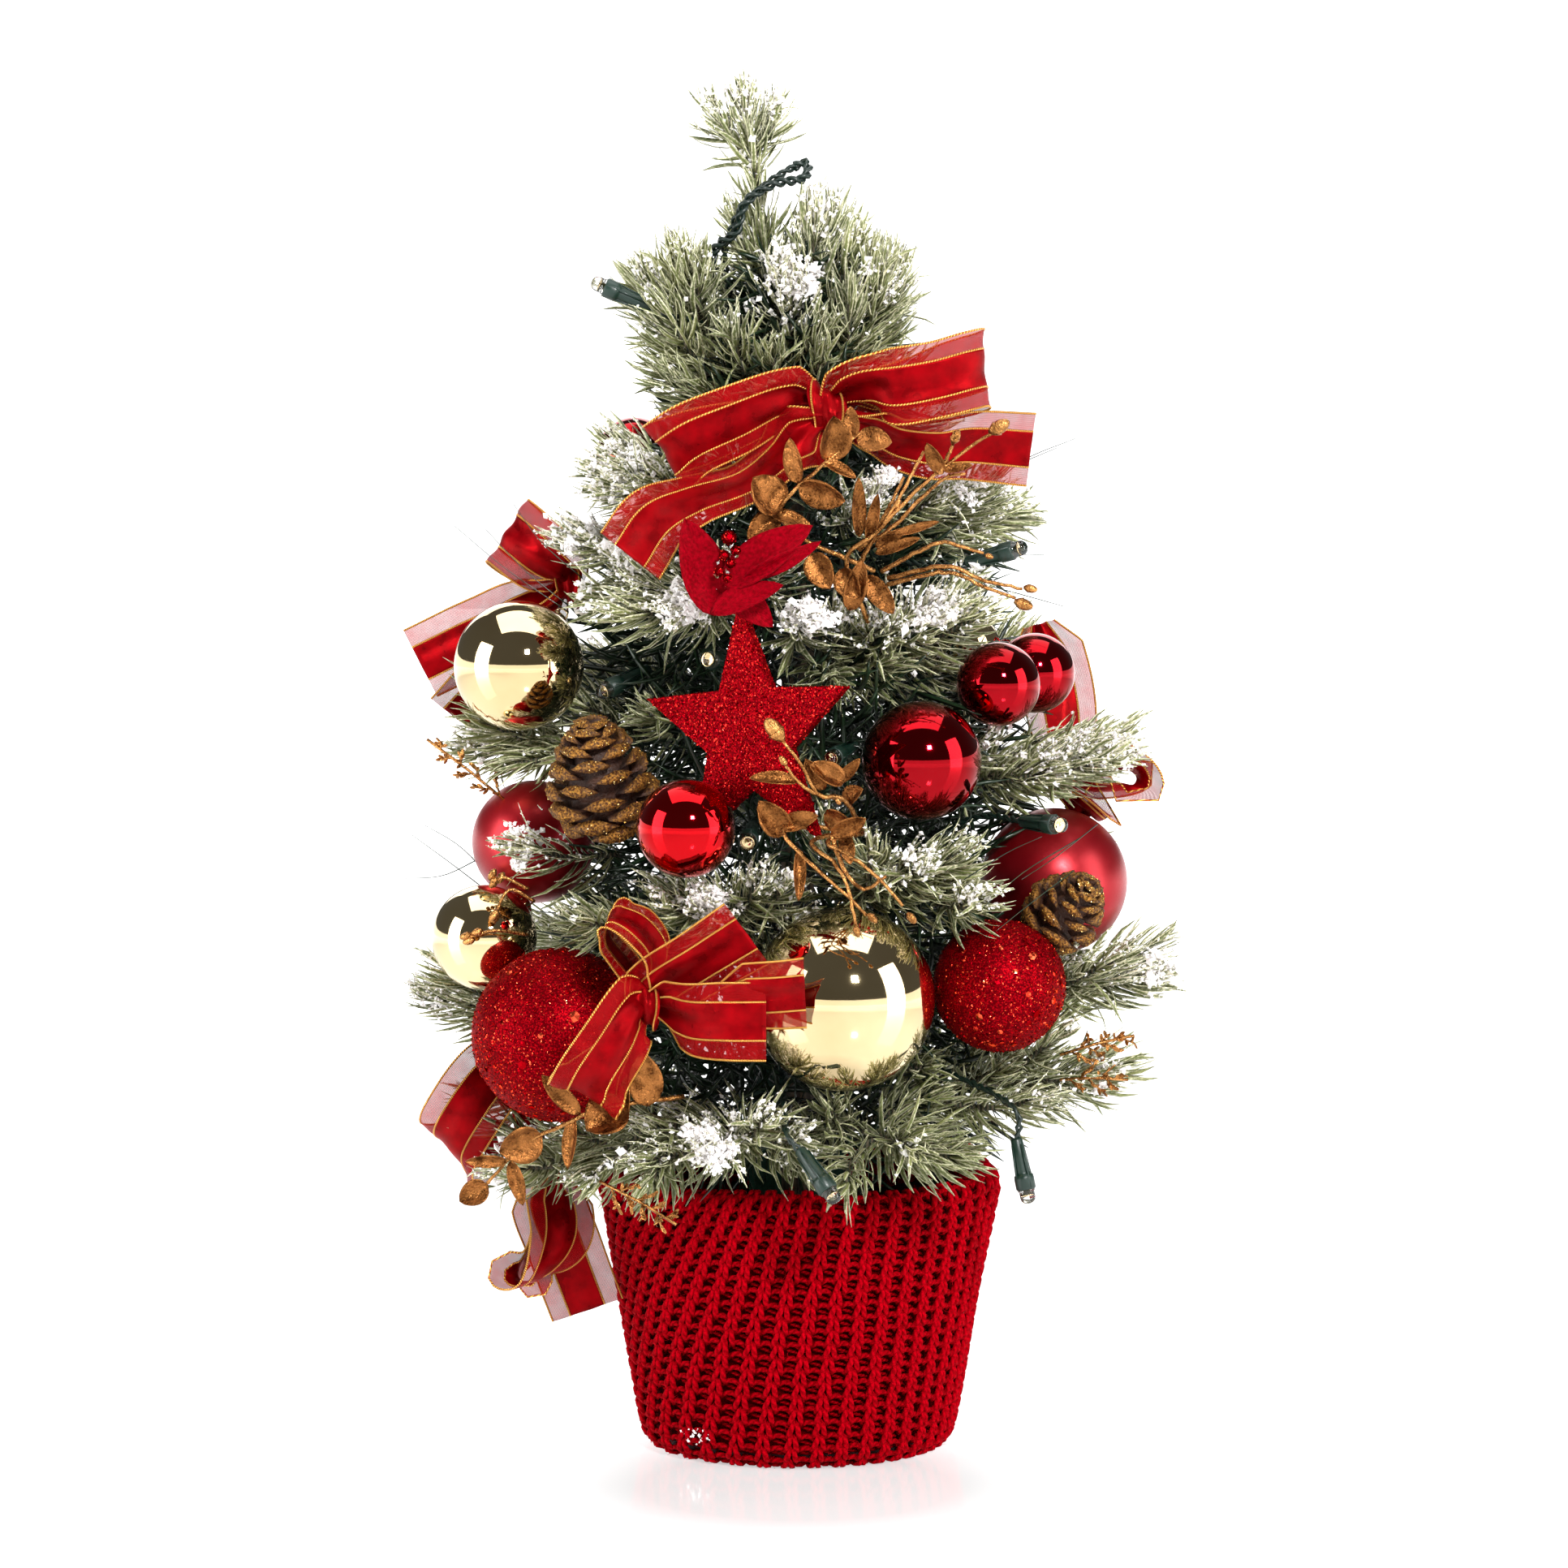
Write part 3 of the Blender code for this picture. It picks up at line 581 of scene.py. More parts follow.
def branch_curve(root, tip):
    """The branch's line, as its CAD solid bends: level at first, then rising or falling to the tip."""
    shoulder = np.array([*tip[:2] * 0.55, root[2] + (tip[2] - root[2]) * 0.35])
    t = np.linspace(0, 1, 14)[:, None]
    return root * (1 - t) ** 2 + shoulder * 2 * t * (1 - t) + tip * t**2


def side_twig(start, axis, turn, rise, length):
    """A twig that leaves a branch sideways and curves back along it."""
    axis = unit(axis)
    flat = unit(np.cross((0, 0, 1), axis))
    up = np.cross(axis, flat)
    leave = unit(axis * 0.75 + flat * turn + up * rise)
    end = start + leave * length * 0.7 + unit(axis + flat * turn * 0.3 + up * (rise + 0.2)) * length * 0.35
    return smooth_path([start, start + leave * length * 0.45, end], 8)


# Flock on the branches' tufts, from 0 to 1, and the crumbs heaped on their tips. The rest are at the back.
BRANCH_SNOW = {
    "top_left": (0.5, 40), "top_right": (0.45, 20), "upper_left": (0.95, 90), "upper_right": (0.5, 40),
    "mid_front_left": (0.9, 340), "mid_front_right": (0.85, 260), "mid_left": (0.5, 30),
    "mid_right": (0.8, 160), "low_front": (0.7, 160), "low_front_right": (0.55, 30), "low_right": (0.8, 70),
    "low_left": (0.65, 60), "base_right": (0.55, 40), "base_front_right": (0.3, 0),
    "base_front_left": (0.85, 420), "base_left": (0.5, 60),
}
BACK_SNOW = (0.6, 60)
# Twigs that fill the tree between the branches: tip, the way it points, its flock, its heap. Millimetres.
FILL_TWIGS = (
    ((-40, -20, 398), (-0.35, -0.3, 0.9), 0.4, 10), ((-2, -30, 390), (0.0, -0.6, 0.8), 0.75, 150),
    ((7, -18, 412), (0.1, -0.2, 1.0), 0.5, 0), ((19, -20, 401), (0.3, -0.4, 0.9), 0.4, 16),
    ((30, -22, 386), (0.6, -0.4, 0.7), 0.6, 60), ((33, -20, 372), (0.8, -0.4, 0.4), 0.3, 0),
    ((25, -26, 362), (0.6, -0.6, 0.3), 0.25, 0), ((-50, -18, 374), (-0.7, -0.4, 0.6), 0.35, 10),
    ((-50, -22, 357), (-0.8, -0.4, 0.3), 0.25, 0), ((-36, -28, 349), (-0.5, -0.7, 0.2), 0.2, 0),
    ((-22, -36, 370), (-0.2, -0.8, 0.6), 0.22, 0), ((-8, -44, 362), (0.0, -0.9, 0.4), 0.18, 0),
    ((8, -38, 372), (0.2, -0.8, 0.6), 0.22, 0), ((58, -40, 318), (0.7, -0.5, 0.2), 0.7, 60),
    ((60, -24, 302), (0.9, -0.4, 0.0), 0.5, 20), ((-30, -60, 330), (-0.4, -0.8, 0.3), 0.3, 0),
    ((-68, 4, 300), (-0.9, 0.0, 0.3), 0.6, 40), ((-60, -50, 296), (-0.6, -0.7, 0.2), 0.8, 60),
    ((-62, -22, 326), (-0.8, -0.4, 0.2), 0.8, 120), ((-80, -18, 301), (-0.9, -0.2, 0.1), 1.0, 200),
    ((-70, -46, 280), (-0.7, -0.6, -0.2), 0.5, 30), ((2, -88, 278), (0.1, -1, 0.2), 0.75, 240),
    ((26, -60, 318), (0.3, -0.8, 0.3), 0.8, 160), ((-94, -52, 203), (-0.8, -0.5, 0.1), 0.7, 80),
    ((-70, -84, 97), (-0.6, -0.7, -0.5), 0.4, 10), ((-50, -100, 94), (-0.3, -0.8, -0.6), 0.3, 0),
    ((12, -78, 256), (0.1, -1, -0.2), 0.1, 0), ((32, -66, 262), (0.4, -0.8, 0.0), 0.25, 0),
    ((82, -74, 124), (0.8, -0.6, 0.1), 0.4, 0), ((-6, -26, 392), (0.0, -0.6, 0.8), 0.7, 60),
    ((14, 14, 410), (0.3, 0.3, 0.9), 0.3, 0), ((-26, 6, 384), (-0.5, 0.2, 0.8), 0.3, 0),
    ((-44, -30, 352), (-0.7, -0.6, 0.3), 0.25, 0), ((40, -22, 358), (0.7, -0.5, 0.4), 0.3, 0),
    ((8, -40, 362), (0.1, -0.8, 0.5), 0.2, 0), ((50, 30, 340), (0.7, 0.5, 0.3), 0.5, 20),
    ((-44, 36, 344), (-0.7, 0.6, 0.3), 0.5, 20), ((100, 26, 196), (0.9, 0.3, 0.1), 0.4, 10),
    ((-104, 34, 190), (-0.9, 0.3, 0.1), 0.4, 10), ((60, -96, 190), (0.4, -0.9, 0.1), 0.5, 20),
    ((-72, -96, 184), (-0.5, -0.8, 0.1), 0.3, 0), ((28, -86, 196), (0.3, -0.9, 0.2), 0.3, 0),
    ((92, -40, 232), (0.8, -0.5, 0.2), 0.6, 40), ((56, -40, 232), (0.6, -0.7, 0.1), 0.2, 0),
    ((-52, -56, 246), (-0.5, -0.8, 0.1), 0.2, 0), ((0, -64, 226), (0.0, -1, 0.0), 0.1, 0),
    ((-14, -74, 172), (-0.2, -1, 0.1), 0.2, 0), ((44, -64, 132), (0.4, -0.9, 0.0), 0.2, 0),
    ((-112, 8, 112), (-0.9, 0.1, -0.1), 0.4, 20), ((104, 6, 118), (0.9, 0.1, -0.1), 0.4, 20),
    ((-60, 88, 118), (-0.5, 0.8, -0.1), 0.4, 20), ((62, 88, 118), (0.5, 0.8, -0.1), 0.4, 20),
    ((0, 98, 168), (0.0, 1, 0.0), 0.5, 30), ((-40, 84, 214), (-0.4, 0.9, 0.1), 0.5, 30),
    ((44, 82, 212), (0.4, 0.9, 0.1), 0.5, 30), ((-36, 62, 300), (-0.4, 0.8, 0.3), 0.5, 30),
    ((40, 60, 298), (0.4, 0.8, 0.3), 0.5, 30), ((0, 60, 376), (0.0, 0.6, 0.8), 0.4, 10),
    ((0, 30, 396), (0.0, 0.4, 0.9), 0.4, 10),
)


def dress_branch(foliage, root, tip, snow, heap, twigs):
    line = branch_curve(root, tip)
    add_tube(foliage.stems, line[:9], 1.2 * MM, 6)
    reach = np.linalg.norm(tip - root)
    steps = along_path(line)
    tuft = np.linspace(steps[-1] - min(46 * MM, reach * 0.6), steps[-1] - TIP_NEEDLES, 10)
    foliage.twig(on_path(tuft, steps, line), TUFT_COUNT, snow, heap=heap)
    for i in range(twigs):
        share = 0.3 + 0.4 * i / (twigs - 1)
        turn = (0.75 if i % 2 else -0.75) + RNG.normal(0, 0.12)
        room = np.clip((1 - share) * reach - 6 * MM, 14 * MM, 38 * MM)
        at = on_path(share * steps[-1], steps, line)
        twig = side_twig(at, tip - root, turn, RNG.normal(0.1, 0.25), room * RNG.uniform(0.88, 1.05))
        foliage.twig(twig, TWIG_COUNT, snow * 0.6)


def make_foliage():
    tree, fill = Foliage(), Foliage()
    rooted = []
    for body, nodes in frame["record"]["behaviour"]["bodies"].items():
        for node in nodes:
            if not node.startswith("branch_"):
                continue
            foliage = tree if body == "tree" else Foliage()
            snow, heap = BRANCH_SNOW.get(node.removeprefix("branch_"), BACK_SNOW)
            dress_branch(foliage, *branch_ends(node), snow, heap, 7 if "back" in node else 6)
            if foliage is tree:
                rooted.append(node)
            else:
                foliage.show(node, body, [node])
    for tip, way, snow, heap in FILL_TWIGS:
        way = unit(way)
        tip = np.array(tip) * MM - way * TIP_NEEDLES * 0.7
        start = tip - way * 34 * MM
        bow = start + way * 18 * MM - (0, 0, 2 * MM)
        fill.twig(smooth_path([start, bow, tip], 8), FILL_COUNT, snow, heap=heap)
    make_leader(tree)
    tree.show("tree", "tree", [*rooted, "leader"])
    fill.show("fill", "tree")


# The leader's wire from the pole's top to where its tip bends, in millimetres.
LEADER_LINE = ((0, 0, 352), (-5, -2, 362), (-10, -3, 388), (-14, -3, 415))


def forked(start, end, turn):
    """A short path that bulges to one side."""
    return smooth_path([start, (start + end) / 2 + np.array([turn * 2, 0, 0]) * MM, end], 6)


def make_leader(tree):
    """The leader's own tufts, and the bending tip above the cable's loop."""
    line = smooth_path(np.array(LEADER_LINE) * MM, 16)
    tree.twig(line[:12], 80, 0.25, 19 * MM)
    tree.twig(line[7:], 70, 0.35, 17 * MM)
    for turn, foot in ((-1, 7), (1, 8), (-1, 9)):
        end = line[foot] + np.array([turn * 9, -3, 14]) * MM
        tree.twig(forked(line[foot], end, turn), 40, 0.3, 14 * MM)
    low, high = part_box("leader_tip")
    tip = Foliage()
    middle = (low.x + high.x) / 2
    bends = ((2 * MM, -3 * MM, low.z), (0, -3 * MM, low.z + 16 * MM), (-1 * MM, -2 * MM, high.z - 8 * MM))
    path = smooth_path(np.array(bends) + (middle, 0, 0), 8)
    tip.twig(path, 90, 0.5, 16 * MM, 30)
    for turn in (-1, 1):
        end = path[-1] + np.array([turn * 9, turn * 4, -3]) * MM
        tip.twig(forked(path[2], end, turn), 40, 0.55, 15 * MM, 14)
    tip.show("leader_tip", "leader_tip", ["leader_tip"])


# Loose hair-thin needles that stand out past the tufts: foot and tip. Millimetres.
STRAYS = (
    ((-74, -30, 277), (-111, -30, 305)), ((-74, -30, 279), (-101, -30, 304)),
    ((-70, -26, 288), (-92, -28, 312)), ((61, -20, 315), (90, -22, 333)), ((57, -40, 293), (79, -42, 296)),
    ((60, -30, 286), (86, -34, 279)), ((64, -24, 322), (84, -24, 330)),
    ((-104, -20, 196), (-128, -24, 190)), ((-102, -20, 186), (-126, -20, 204)),
    ((-100, -22, 190), (-122, -26, 208)), ((-84, -44, 150), (-104, -60, 138)),
    ((96, -50, 210), (70, -90, 196)), ((88, -60, 196), (62, -92, 180)), ((90, -56, 206), (58, -96, 188)),
    ((52, -90, 196), (76, -96, 210)),
)


def make_strays():
    soup = Soup()
    for foot, tip in STRAYS:
        foot, tip = np.array(foot) * MM, np.array(tip) * MM
        sag = (foot + tip) / 2 + RNG.normal(0, 1.2 * MM, 3)
        add_tube(soup, smooth_path([foot, sag, tip], 10), np.linspace(0.22, 0.1, 10) * MM, 5)
    # The stray needles take the same near-black film, whose darkness is painted shade.
    soup.piece("stray_needles", "strip", "foliage")


def make_strips():
    """Long strips that fill the inside of the tree round the pole, coloured near-black as painted shade for
    its depths.
    """
    soup = Soup()
    count = STRIP_COUNT
    height = RNG.uniform(0.1, 0.39, count)
    widest = np.interp(height, [0.1, 0.16, 0.25, 0.33, 0.39], [54, 66, 60, 36, 12]) * MM
    angle = RNG.uniform(0, TURN, count)
    radius = widest * np.sqrt(RNG.uniform(0.02, 1, count))
    out = np.stack([np.cos(angle), np.sin(angle), np.zeros(count)], 1)
    bases = out * radius[:, None]
    bases[:, 2] = height
    away = unit(out + RNG.normal(0, 0.75, (count, 3)) + (0, 0, 0.15))
    curls = np.clip(RNG.normal(0.5, 0.3, count), 0.1, 1.2)
    lengths = RNG.uniform(20, 32, count) * np.interp(height, [0.3, 0.39], [1, 0.55]) * MM
    widths = RNG.uniform(1.3, 2.0, count) * MM
    add_needles(soup, bases, away, RNG.normal(size=(count, 3)), lengths, widths, curls, np.zeros(count))
    soup.piece("inner_strips", "strip", "foliage")


# ---------------------------------------------------------------- knitted cover

COLUMNS = 46  # chains of stitches round the cover
ROW = 4.45 * MM
KNIT_RADIUS = 57.5 * MM  # where a stitch is as wide as its line says
FLOOR_GAP = 0.1 * MM
# Sides and rows of the sheet of painted shade just inside the stitches.
SHADE_BACKING_SIDES, SHADE_BACKING_ROWS = 184, 60
HAIR_COUNT = 1500
# Radius and height of the cover's outer face, from its foot, up, over the rim and inside it. Millimetres.
COVER_PROFILE = (
    (40, 1.6), (45.5, 1.4), (49.2, 4), (51.6, 12), (57.4, 46), (63.6, 80), (64.6, 86), (62.6, 90.6),
    (58.8, 89.6), (57.2, 84), (56, 74),
)
# Yarns of one stitch as points (round, along, off the face) in millimetres, and their radii.
LEG = np.array((
    (1.75, -3.3, -0.8), (1.6, -2.1, 0.4), (1.3, -0.6, 1.1), (0.85, 1.1, 1.2), (0.5, 2.5, 0.7),
    (0.35, 3.5, -0.5),
))
LEG_RADII = (0.6, 0.88, 1.0, 0.95, 0.8, 0.45)
BAR = (
    (-2.7, -1.3, -0.9), (-1.8, 0.2, -0.1), (-0.7, 0.95, 0.2), (0.7, 0.95, 0.2), (1.8, 0.2, -0.1),
    (2.7, -1.3, -0.9),
)
BAR_RADII = (0.6, 0.8, 0.88, 0.88, 0.8, 0.6)
CROSS = ((-2.4, 0.9, -1.9), (-0.8, 0.3, -1.6), (0.8, -0.3, -1.6), (2.4, -0.9, -1.9))
CROSS_RADII = (0.6, 0.75, 0.75, 0.6)


def hump(angle, middle, width):
    """A smooth hump from 0 to 1 round a middle angle in degrees."""
    return np.exp(-((np.angle(np.exp(1j * (angle - math.radians(middle)))) / width) ** 2))


class Cover:
    """The knitted cover's face, for an angle round it, a distance along it and a height off it."""

    def __init__(self):
        self.line = smooth_path(np.array([(r, 0, z) for r, z in COVER_PROFILE]) * MM, 160)
        self.along = along_path(self.line)
        self.length = self.along[-1]
        self.rim = self.along[np.argmax(self.line[:, 2])]
        tangent = unit(np.gradient(self.line, axis=0))
        # Radius, height and the outward direction's two parts, at each distance.
        self.table = np.stack([self.line[:, 0], self.line[:, 2], tangent[:, 2], -tangent[:, 0]], 1)

    def at(self, angle, s, off):
        """Chains lean at the left and are straight at the right. The face bulges, and its rim stands up."""
        angle, s, off = np.broadcast_arrays(angle, s, off)
        share = np.clip(s / self.rim, 0, 1)
        turned = angle + 1.4 * hump(angle, 188, 1.12) * (share - 0.62)
        r, z, out_r, out_z = np.moveaxis(on_path(s, self.along, self.table), -1, 0)
        swell = (np.sin(turned * 3 + 1.1) * 0.5 + np.sin(turned * 7 + s * 90) * 0.35) * MM * share
        flap = hump(turned, 38, 0.33)
        lift = np.clip((share - 0.72) / 0.28, 0, 1) ** 2
        r = r + out_r * off + swell + flap * lift * 2.5 * MM
        z = z + out_z * off + lift * (flap * 6.5 + np.sin(turned * 4 + 2) * 0.7) * MM
        return np.stack([r * np.cos(turned), r * np.sin(turned), np.maximum(z, 0.3 * MM)], -1)


def wool_material(name, dark, light, bump=0.5):
    m = Nodes(name, light, 0.86, Specular_IOR_Level=0.06, Specular_Tint=(1, 0.1, 0.1, 1))
    across, along = m.uv()
    twist = m.sine(m.plus(m.times(across, 12.566), m.times(along, 22)))
    fibre = m.noise(1400, 3)
    m.colours(m.plus(m.times(twist, 0.16), fibre), dark, light, 0.3, 0.72)
    m.relief(m.plus(m.times(twist, 0.5), m.times(fibre, 0.9)), bump, 0.0003)
    return m.material


def add_yarns(soup, cover, angles, distances, line, radii, sides=6):
    """A short length of yarn at every place, its points being (round, along, off) from the place."""
    across, along, off = (np.asarray(line) * MM).T
    round_by = across * (1 / KNIT_RADIUS)
    middle, above = (
        cover.at(angles[:, None] + round_by, distances[:, None] + along, off + rise) for rise in (0, 1 * MM)
    )
    tangent = unit(np.gradient(middle, axis=1))
    a = unit(above - middle)
    a = unit(a - tangent * np.sum(a * tangent, -1, keepdims=True))
    ring = circle(sides, a[:, :, None], np.cross(tangent, a)[:, :, None])
    points = middle[:, :, None] + ring * (np.asarray(radii) * MM)[:, None, None]
    points[..., 2] = np.maximum(points[..., 2], FLOOR_GAP)
    quads, uv = ring_faces(len(line), sides)
    soup.add_many(points.reshape(len(angles), -1, 3), quads, fan_faces(len(line), sides), uv)


def add_fuzz(soup, cover):
    """Loose hairs that stand off the yarn."""
    angle = RNG.uniform(0, TURN, HAIR_COUNT)
    s = RNG.uniform(4 * MM, cover.length - 6 * MM, HAIR_COUNT)
    start = cover.at(angle, s, 0.6 * MM)
    away = unit(cover.at(angle, s, 3 * MM) - start)
    for p, out in zip(start, away):
        length = RNG.uniform(1.2, 3.6) * MM
        first = unit(out + RNG.normal(0, 0.7, 3))
        second = unit(first + RNG.normal(0, 0.9, 3))
        hair = np.array([p, p + first * length * 0.5, p + (first + second) * length * 0.5])
        hair[:, 2] = np.maximum(hair[:, 2], 2 * FLOOR_GAP)
        add_tube(soup, hair, 0.045 * MM, 3)


def make_cover():
    cover = Cover()
    stitches, bars, fuzz, lining, specks = (Soup() for _ in range(5))
    rows = int((cover.length - 2 * MM) / ROW)
    column, row = np.meshgrid(np.arange(COLUMNS), np.arange(rows), indexing="ij")
    pitch = TURN / COLUMNS
    angle = (column * pitch).ravel() + RNG.normal(0, 0.0045, column.size)
    s = (2.5 * MM + ROW * row).ravel() + RNG.normal(0, 0.22 * MM, column.size)
    for side in (-1, 1):
        add_yarns(stitches, cover, angle, s, LEG * (side, 1, 1), LEG_RADII)
    # The bars and crossings sit deeper in the knit and take a darker copy of the wool: painted shade on the
    # same yarn.
    add_yarns(bars, cover, angle + pitch / 2, s + ROW * 0.42, BAR, BAR_RADII)
    add_yarns(bars, cover, angle + pitch / 2, s, CROSS, CROSS_RADII, 5)
    # A sheet of near-black wool just inside the stitches: painted shade that shows through the gaps between
    # them.
    turns = np.linspace(0, TURN, SHADE_BACKING_SIDES, endpoint=False)
    heights = np.linspace(0.5 * MM, cover.length, SHADE_BACKING_ROWS)
    lining.add(cover.at(turns, heights[:, None], -2.5 * MM), ring_faces(SHADE_BACKING_ROWS, SHADE_BACKING_SIDES)[0])
    base = lining.piece("knit_lining", "wool_painted_shade", "knit_wool")
    solid = base.modifiers.new("thickness", "SOLIDIFY")
    solid.thickness = 0.6 * MM
    solid.offset = -1
    add_fuzz(fuzz, cover)
    shown = [
        stitches.piece("knit_stitches", "wool", "knit_wool"),
        bars.piece("knit_bars", "wool_recess_shade", "knit_wool"),
        fuzz.piece("knit_fuzz", "fuzz", "knit_wool"),
    ]
    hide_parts("knit_cover")
    # Flock that has fallen on the cover: a patch near its foot, and some along its rim.
    patches = ((-112, 0.035, 17 * MM, 1.6 * MM, 26), (40, 0.1, cover.rim, 3 * MM, 40))
    places = [
        cover.at(math.radians(turn) + RNG.normal(0, wide, count), RNG.normal(where, tall, count), 1.6 * MM)
        for turn, wide, where, tall, count in patches
    ]
    add_chips(specks, np.vstack(places), 0.36 * MM, 0.2 * MM)
    specks.piece("cover_flock", "flock", "foliage", smooth=False)


# ---------------------------------------------------------------- ribbon

RIBBON = 25 * MM
SATIN = (0.26, 0.74)  # the satin's edges, as shares of the ribbon's width
# Where the gold lines run across the ribbon: its edges, and both sides of the satin.
GOLD_LINES = (0.012, *SATIN, 0.988)
KNOT_REACH = 14 * MM  # a loop's two ends are this close
# Each strip of ribbon as sections along it: its middle, then the way its width runs. Millimetres.
RIBBONS = {
    "bow_top": (
        (
            (5, -66, 346, 1, 7, -5), (-6, -74, 345, 4, 9, -8), (-19, -78, 340, 5, 6, -10),
            (-33, -78, 334, 6, 4, -10), (-41, -71, 328, 4, 6, -10), (-37, -62, 329, 6, 0, -11),
            (-17, -57, 336, 4, 8, -9), (5, -60, 345, 1, 10, -5),
        ),
        (
            (8, -68, 340, 4, 9, -5), (-5, -73, 329, 5, -9, -5), (-17, -77, 320, 5, -10, -5),
            (-33, -80, 314, 7, -9, -6), (-45, -81, 308, 10, -5, -6), (-53, -79, 297, 11, -4, -5),
        ),
        (
            (10, -66, 346, 4, 9, -3), (20, -74, 350, 5, 8, -8), (30, -78, 350, 4, 1, -12),
            (43, -77, 352, 2, 3, -12), (54, -73, 355, 1, 1, -12), (59, -66, 356, 1, 0, -13),
            (56, -58, 354, 1, 0, -13), (38, -55, 349, 1, 6, -11), (15, -60, 346, 1, 10, -6),
        ),
        (
            (14, -66, 341, 1, 11, -4), (25, -63, 336, 2, 9, -8), (33, -62, 332, 0, 9, -9),
            (44, -61, 330, -3, 7, -10), (56, -59, 331, -2, 5, -11), (74, -56, 330, -5, 3, -11),
        ),
    ),
    "bow_left": (
        (
            (-74, 8, 286, -2, 12, -4), (-78, 1, 289, -4, 8, -9), (-87, 0, 296, -6, 1, -11),
            (-95, 6, 302, -7, 0, -11), (-93, 13, 299, -7, 0, -11), (-77, 14, 287, -4, 9, -8),
        ),
        (
            (-77, 10, 285, 0, 12, -4), (-95, 12, 273, 2, 4, -12), (-111, 13, 265, 3, 1, -12),
            (-125, 13, 258, 3, 1, -12),
        ),
        (
            (-77, 9, 283, 0, 12, -2), (-91, 14, 262, 6, 7, -8), (-104, 16, 250, 7, 6, -8),
            (-114, 17, 240, 7, 7, -6),
        ),
    ),
    "bow_front": (
        (
            (-46, -104, 164, 2, 12, 1), (-44, -108, 175, 4, 11, 2), (-50, -110, 184, 4, 11, 4),
            (-58, -108, 187, 1, 12, 3), (-60, -104, 179, 1, 12, 2), (-53, -102, 170, 2, 12, 2),
            (-46, -102, 163, 2, 12, 1),
        ),
        (
            (-50, -106, 158, 2, 8, -6), (-42, -112, 165, 4, 6, -9), (-31, -117, 172, 5, 5, -9),
            (-16, -119, 182, 8, 3, -9),
        ),
        (
            (-46, -106, 158, 0, 8, -6), (-35, -117, 155, 0, 4, -11), (-23, -121, 155, -1, 1, -12),
            (-10, -121, 155, -2, 0, -12),
        ),
        ((-24, -118, 162, 0, 6, -10), (-9, -122, 163, 0, 5, -11), (2, -121, 164, -1, 4, -11)),
        (
            (-47, -107, 160, 2, 9, -5), (-52, -116, 157, 6, 7, -8), (-57, -119, 148, 9, 6, -6),
            (-63, -117, 138, 10, 5, -5), (-66, -110, 131, 9, 6, -5), (-61, -105, 139, 6, 9, -3),
            (-48, -103, 155, 2, 11, -2),
        ),
    ),
    "bow_low_left": (
        (
            (-93, -24, 129, 7, 4, -10), (-100, -36, 126, 8, 0, -11), (-107, -39, 117, 8, 0, -10),
            (-113, -33, 105, 8, 0, -10), (-108, -22, 99, 7, 6, -8), (-96, -14, 100, 5, 9, -8),
        ),
        (
            (-84, -20, 92, 11, 6, 0), (-81, -23, 81, 12, 1, 0), (-77, -22, 70, 12, 0, 1),
            (-73, -20, 58, 12, 0, 1), (-69, -18, 47, 12, 0, 0),
        ),
        (
            (-80, -25, 92, 9, 8, 0), (-77, -34, 79, 10, 7, -1), (-79, -38, 69, 8, 9, -2),
            (-85, -37, 60, 4, 11, 0), (-91, -31, 60, 3, 12, 2), (-87, -25, 68, 3, 12, 1),
        ),
    ),
    "bow_right": (
        (
            (80, 16, 271, 12, 0, 1), (85, 17, 254, 12, 0, -2), (88, 15, 238, 11, 4, -1),
            (88, 12, 222, 6, 11, -2),
        ),
        (
            (88, 9, 223, 3, 10, -6), (99, 4, 227, 1, 8, -9), (108, 5, 224, 0, 10, -7),
            (111, 10, 219, -3, 11, -4), (99, 14, 217, -2, 11, -4), (88, 14, 220, 0, 11, -4),
        ),
        (
            (84, 9, 218, 0, 12, -3), (92, 6, 212, -2, 11, -5), (97, 9, 207, -3, 11, -4),
            (90, 14, 212, -1, 11, -4),
        ),
    ),
}
# Each bow's knot: its middle, its width and its radius.
KNOTS = {
    "bow_top": (9, -68, 343, 15, 7.5), "bow_left": (-76, 8, 286, 12, 7),
    "bow_front": (-48, -109, 160, 12, 6.5), "bow_low_left": (-88, -22, 108, 12, 6.5),
    "bow_right": (87, 10, 221, 12, 6.5),
}


def satin_material():
    sockets = {"Specular_IOR_Level": 0.3, "Anisotropic": 0.6, "Specular_Tint": (1, 0.16, 0.12, 1)}
    m = Nodes("ribbon_satin", (0.4, 0.0, 0.004), 0.3, 0.5, **sockets)
    across, along = m.uv()
    weave = m.sine(m.plus(m.times(across, 420), m.times(along, 420)))
    cloud = m.noise(160, 3)
    m.colours(m.plus(cloud, m.times(weave, 0.06)), (0.13, 0.0, 0.0015), (0.29, 0.0, 0.003))
    m.roughness(cloud, 0.24, 0.4)
    m.relief(m.plus(m.times(weave, 0.25), cloud), 0.25, 0.0003)
    return m.material


def sheer_material():
    sockets = {"Specular_IOR_Level": 0.2, "Specular_Tint": (1, 0.3, 0.25, 1)}
    m = Nodes("ribbon_sheer", (0.55, 0.01, 0.015), 0.45, **sockets)
    across, along = m.uv()
    weave = m.times(m.plus(m.sine(m.times(across, 330)), m.sine(m.times(along, 600))), 0.25)
    cloud = m.noise(200, 2)
    m.to_shader(m.math("ADD", m.between(cloud, 0.3, 0.7, 0.48, 0.56), m.times(weave, 0.3), True), "Alpha")
    m.colours(cloud, (0.25, 0.0, 0.002), (0.36, 0.001, 0.004))
    m.relief(weave, 0.4, 0.0002)
    return m.material


